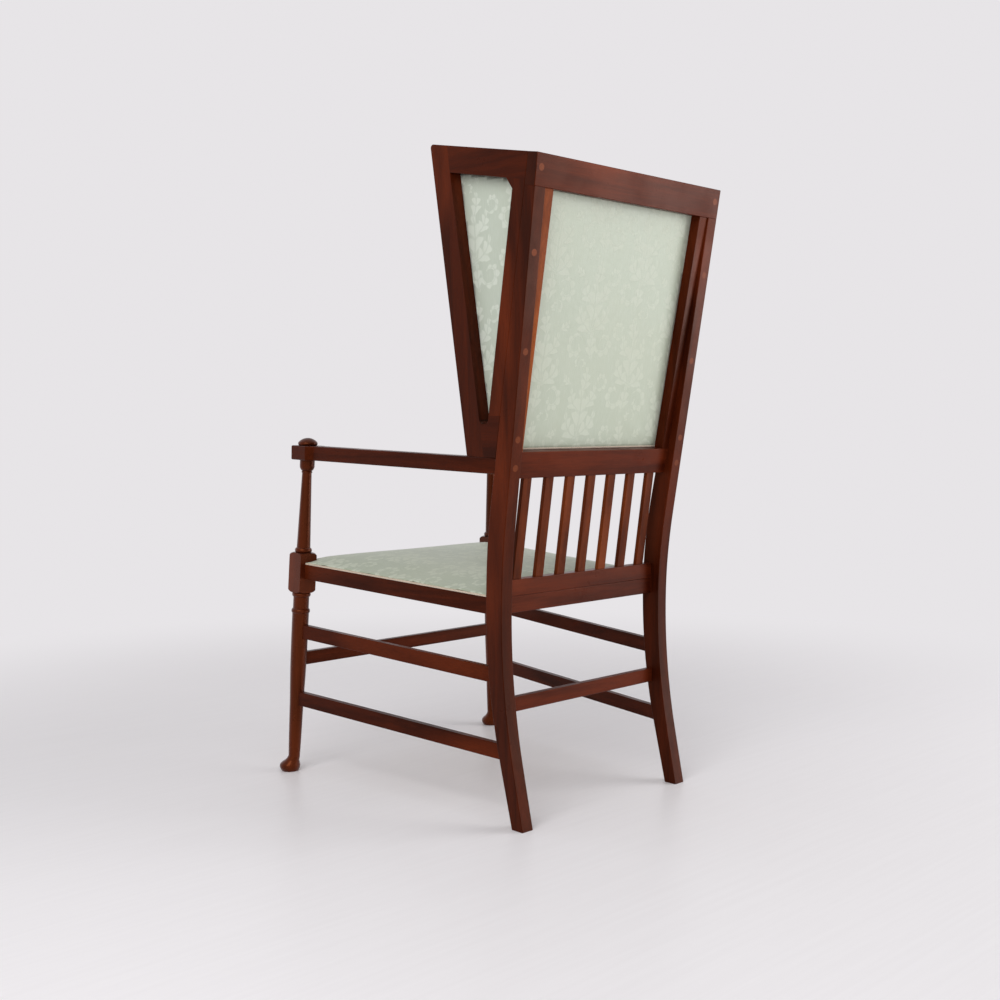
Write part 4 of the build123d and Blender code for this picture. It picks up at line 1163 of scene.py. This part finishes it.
wing_opening = [(-0.01431, 0.28319), (-0.09005, 0.69461),
                (0.06688, 0.72602), (0.00582, 0.28319)]
left_wing_braid = make_braid("wing_braid_left", [rounded(grown(wing_opening, 0.011), 0.0090)],
                             wing_board)
right_wing_braid = mirrored_piece(left_wing_braid, "wing_braid_right")

front_line = front_corner[1] - BRAID_LEVEL
block_x, block_y = 0.26424 - 0.0205, seat_deck.read(np.array([0.264, -0.2807, 0.421]))[1]
rear_end = -0.003


def side_x(y):
    return cover_x(y) + BRAID_LEVEL


seat_paths = [[(-block_x, front_line), (0, front_line), (block_x, front_line)],
              [(side_x(block_y), block_y), (side_x(rear_end), rear_end)],
              [(-side_x(rear_end), rear_end), (-side_x(block_y), block_y)]]
seat_braid = make_braid("seat_braid", seat_paths, seat_deck, False, 0.0020, Lean=math.pi / 2)
for braid, node in ((back_braid, "back_gimp"), (left_wing_braid, "wing_gimp_left"),
                    (right_wing_braid, "wing_gimp_right"), (seat_braid, "seat_gimp")):
    declare_trim(braid, [node])

# %% [markdown]
# ## Webbing
# Under the seat, jute straps are stretched from rail to rail and woven over and under each
# other. Seen from below they are the seat's structure. A strap is a flat ribbon along a
# line, and the weaving is a wave in its height, with half a wave from one crossing to the
# next. Straps of the other set have the wave turned over, so they pass where the first
# leave room.

# %% Weave the seat's webbing
def make_webbing_tree():
    tree, given = start_tree("webbing", {"Width": 0.05, "Thickness": 0.0013, "Rise": 0.0008,
                                         "Crossing": 0.1, "First": 0.05, "Turn": 0.0})
    path = result_of(tree, "GeometryNodeMeshToCurve", {"Mesh": given["Path"]})
    path = even_steps(tree, path, 0.006)
    along = result_of(tree, "GeometryNodeSplineParameter", output="Length")
    share = (along - given["First"]) / given["Crossing"]
    wave = maths("COSINE", (share + given["Turn"]) * math.pi)
    lift = combine(tree, z=wave * given["Rise"])
    path = result_of(tree, "GeometryNodeSetPosition", {"Geometry": path, "Offset": lift})
    path = result_of(tree, "GeometryNodeSetCurveNormal", {"Curve": path}, mode="Z_UP")
    ribbon = result_of(tree, "GeometryNodeCurvePrimitiveQuadrilateral",
                       {"Width": given["Width"], "Height": given["Thickness"]})
    strap = result_of(tree, "GeometryNodeCurveToMesh",
                      {"Curve": path, "Profile Curve": ribbon, "Fill Caps": True})
    return end_tree(tree, strap, given["Finish"])


webbing_tree = make_webbing_tree()
STRAP, LAP, RAIL, ROWS = 0.050, 0.013, 0.020, 4
STRAP_LEVEL = 0.0016
COVER_INSET = 0.0026
inset = RAIL - LAP
front_edge = front_corner[1] - COVER_INSET + inset
rear_edge = -inset + COVER_INSET
half_front = side_x(front_edge) + COVER_INSET - inset
half_rear = side_x(rear_edge) + COVER_INSET - inset
column_pitch = 2 * half_rear / (ROWS + 1)
row_pitch = (rear_edge - front_edge) / (ROWS + 1)
straps = []
for number in range(ROWS):
    x = -half_rear + column_pitch * (number + 1)
    straps.append((f"column_{number}", [(x, front_edge), (x, rear_edge)],
                   {"Crossing": row_pitch, "First": row_pitch + STRAP / 4, "Turn": number}))
    y = front_edge + row_pitch * (number + 1) + STRAP / 4
    half = half_front + (half_rear - half_front) * (y - front_edge) / (rear_edge - front_edge)
    straps.append((f"row_{number}", [(-half, y), (half, y)],
                   {"Crossing": column_pitch, "First": half - half_rear + column_pitch,
                    "Turn": number + 1}))
parts = bmesh.new()
for label, line, sizes in straps:
    strap = path_object(label, [line], False, STRAP_LEVEL)
    grow_along(strap, webbing_tree, webbing_cloth, seat_deck, dict(sizes, Width=STRAP))
    parts.from_mesh(strap.data)
    bpy.data.objects.remove(strap)
seat_webbing_straps = object_from(parts, "seat_webbing_straps")
seat_webbing_straps.data.materials.append(webbing_cloth)
declare_trim(seat_webbing_straps, ["seat_webbing"])

# %% Tape along the foot of the outside back cloth
TAPE_HALF, TAPE_LINE, TAPE_LEVEL = 0.1928, 0.0103, 0.0020
foot_line = [(x / 10 * TAPE_HALF, TAPE_LINE) for x in range(-10, 11)]
back_tape = path_object("back_tape", [foot_line], False, TAPE_LEVEL)
grow_along(back_tape, webbing_tree, braid_thread, behind_back,
           {"Width": 0.0030, "Thickness": 0.0008, "Rise": 0.0})
declare_trim(back_tape, [])
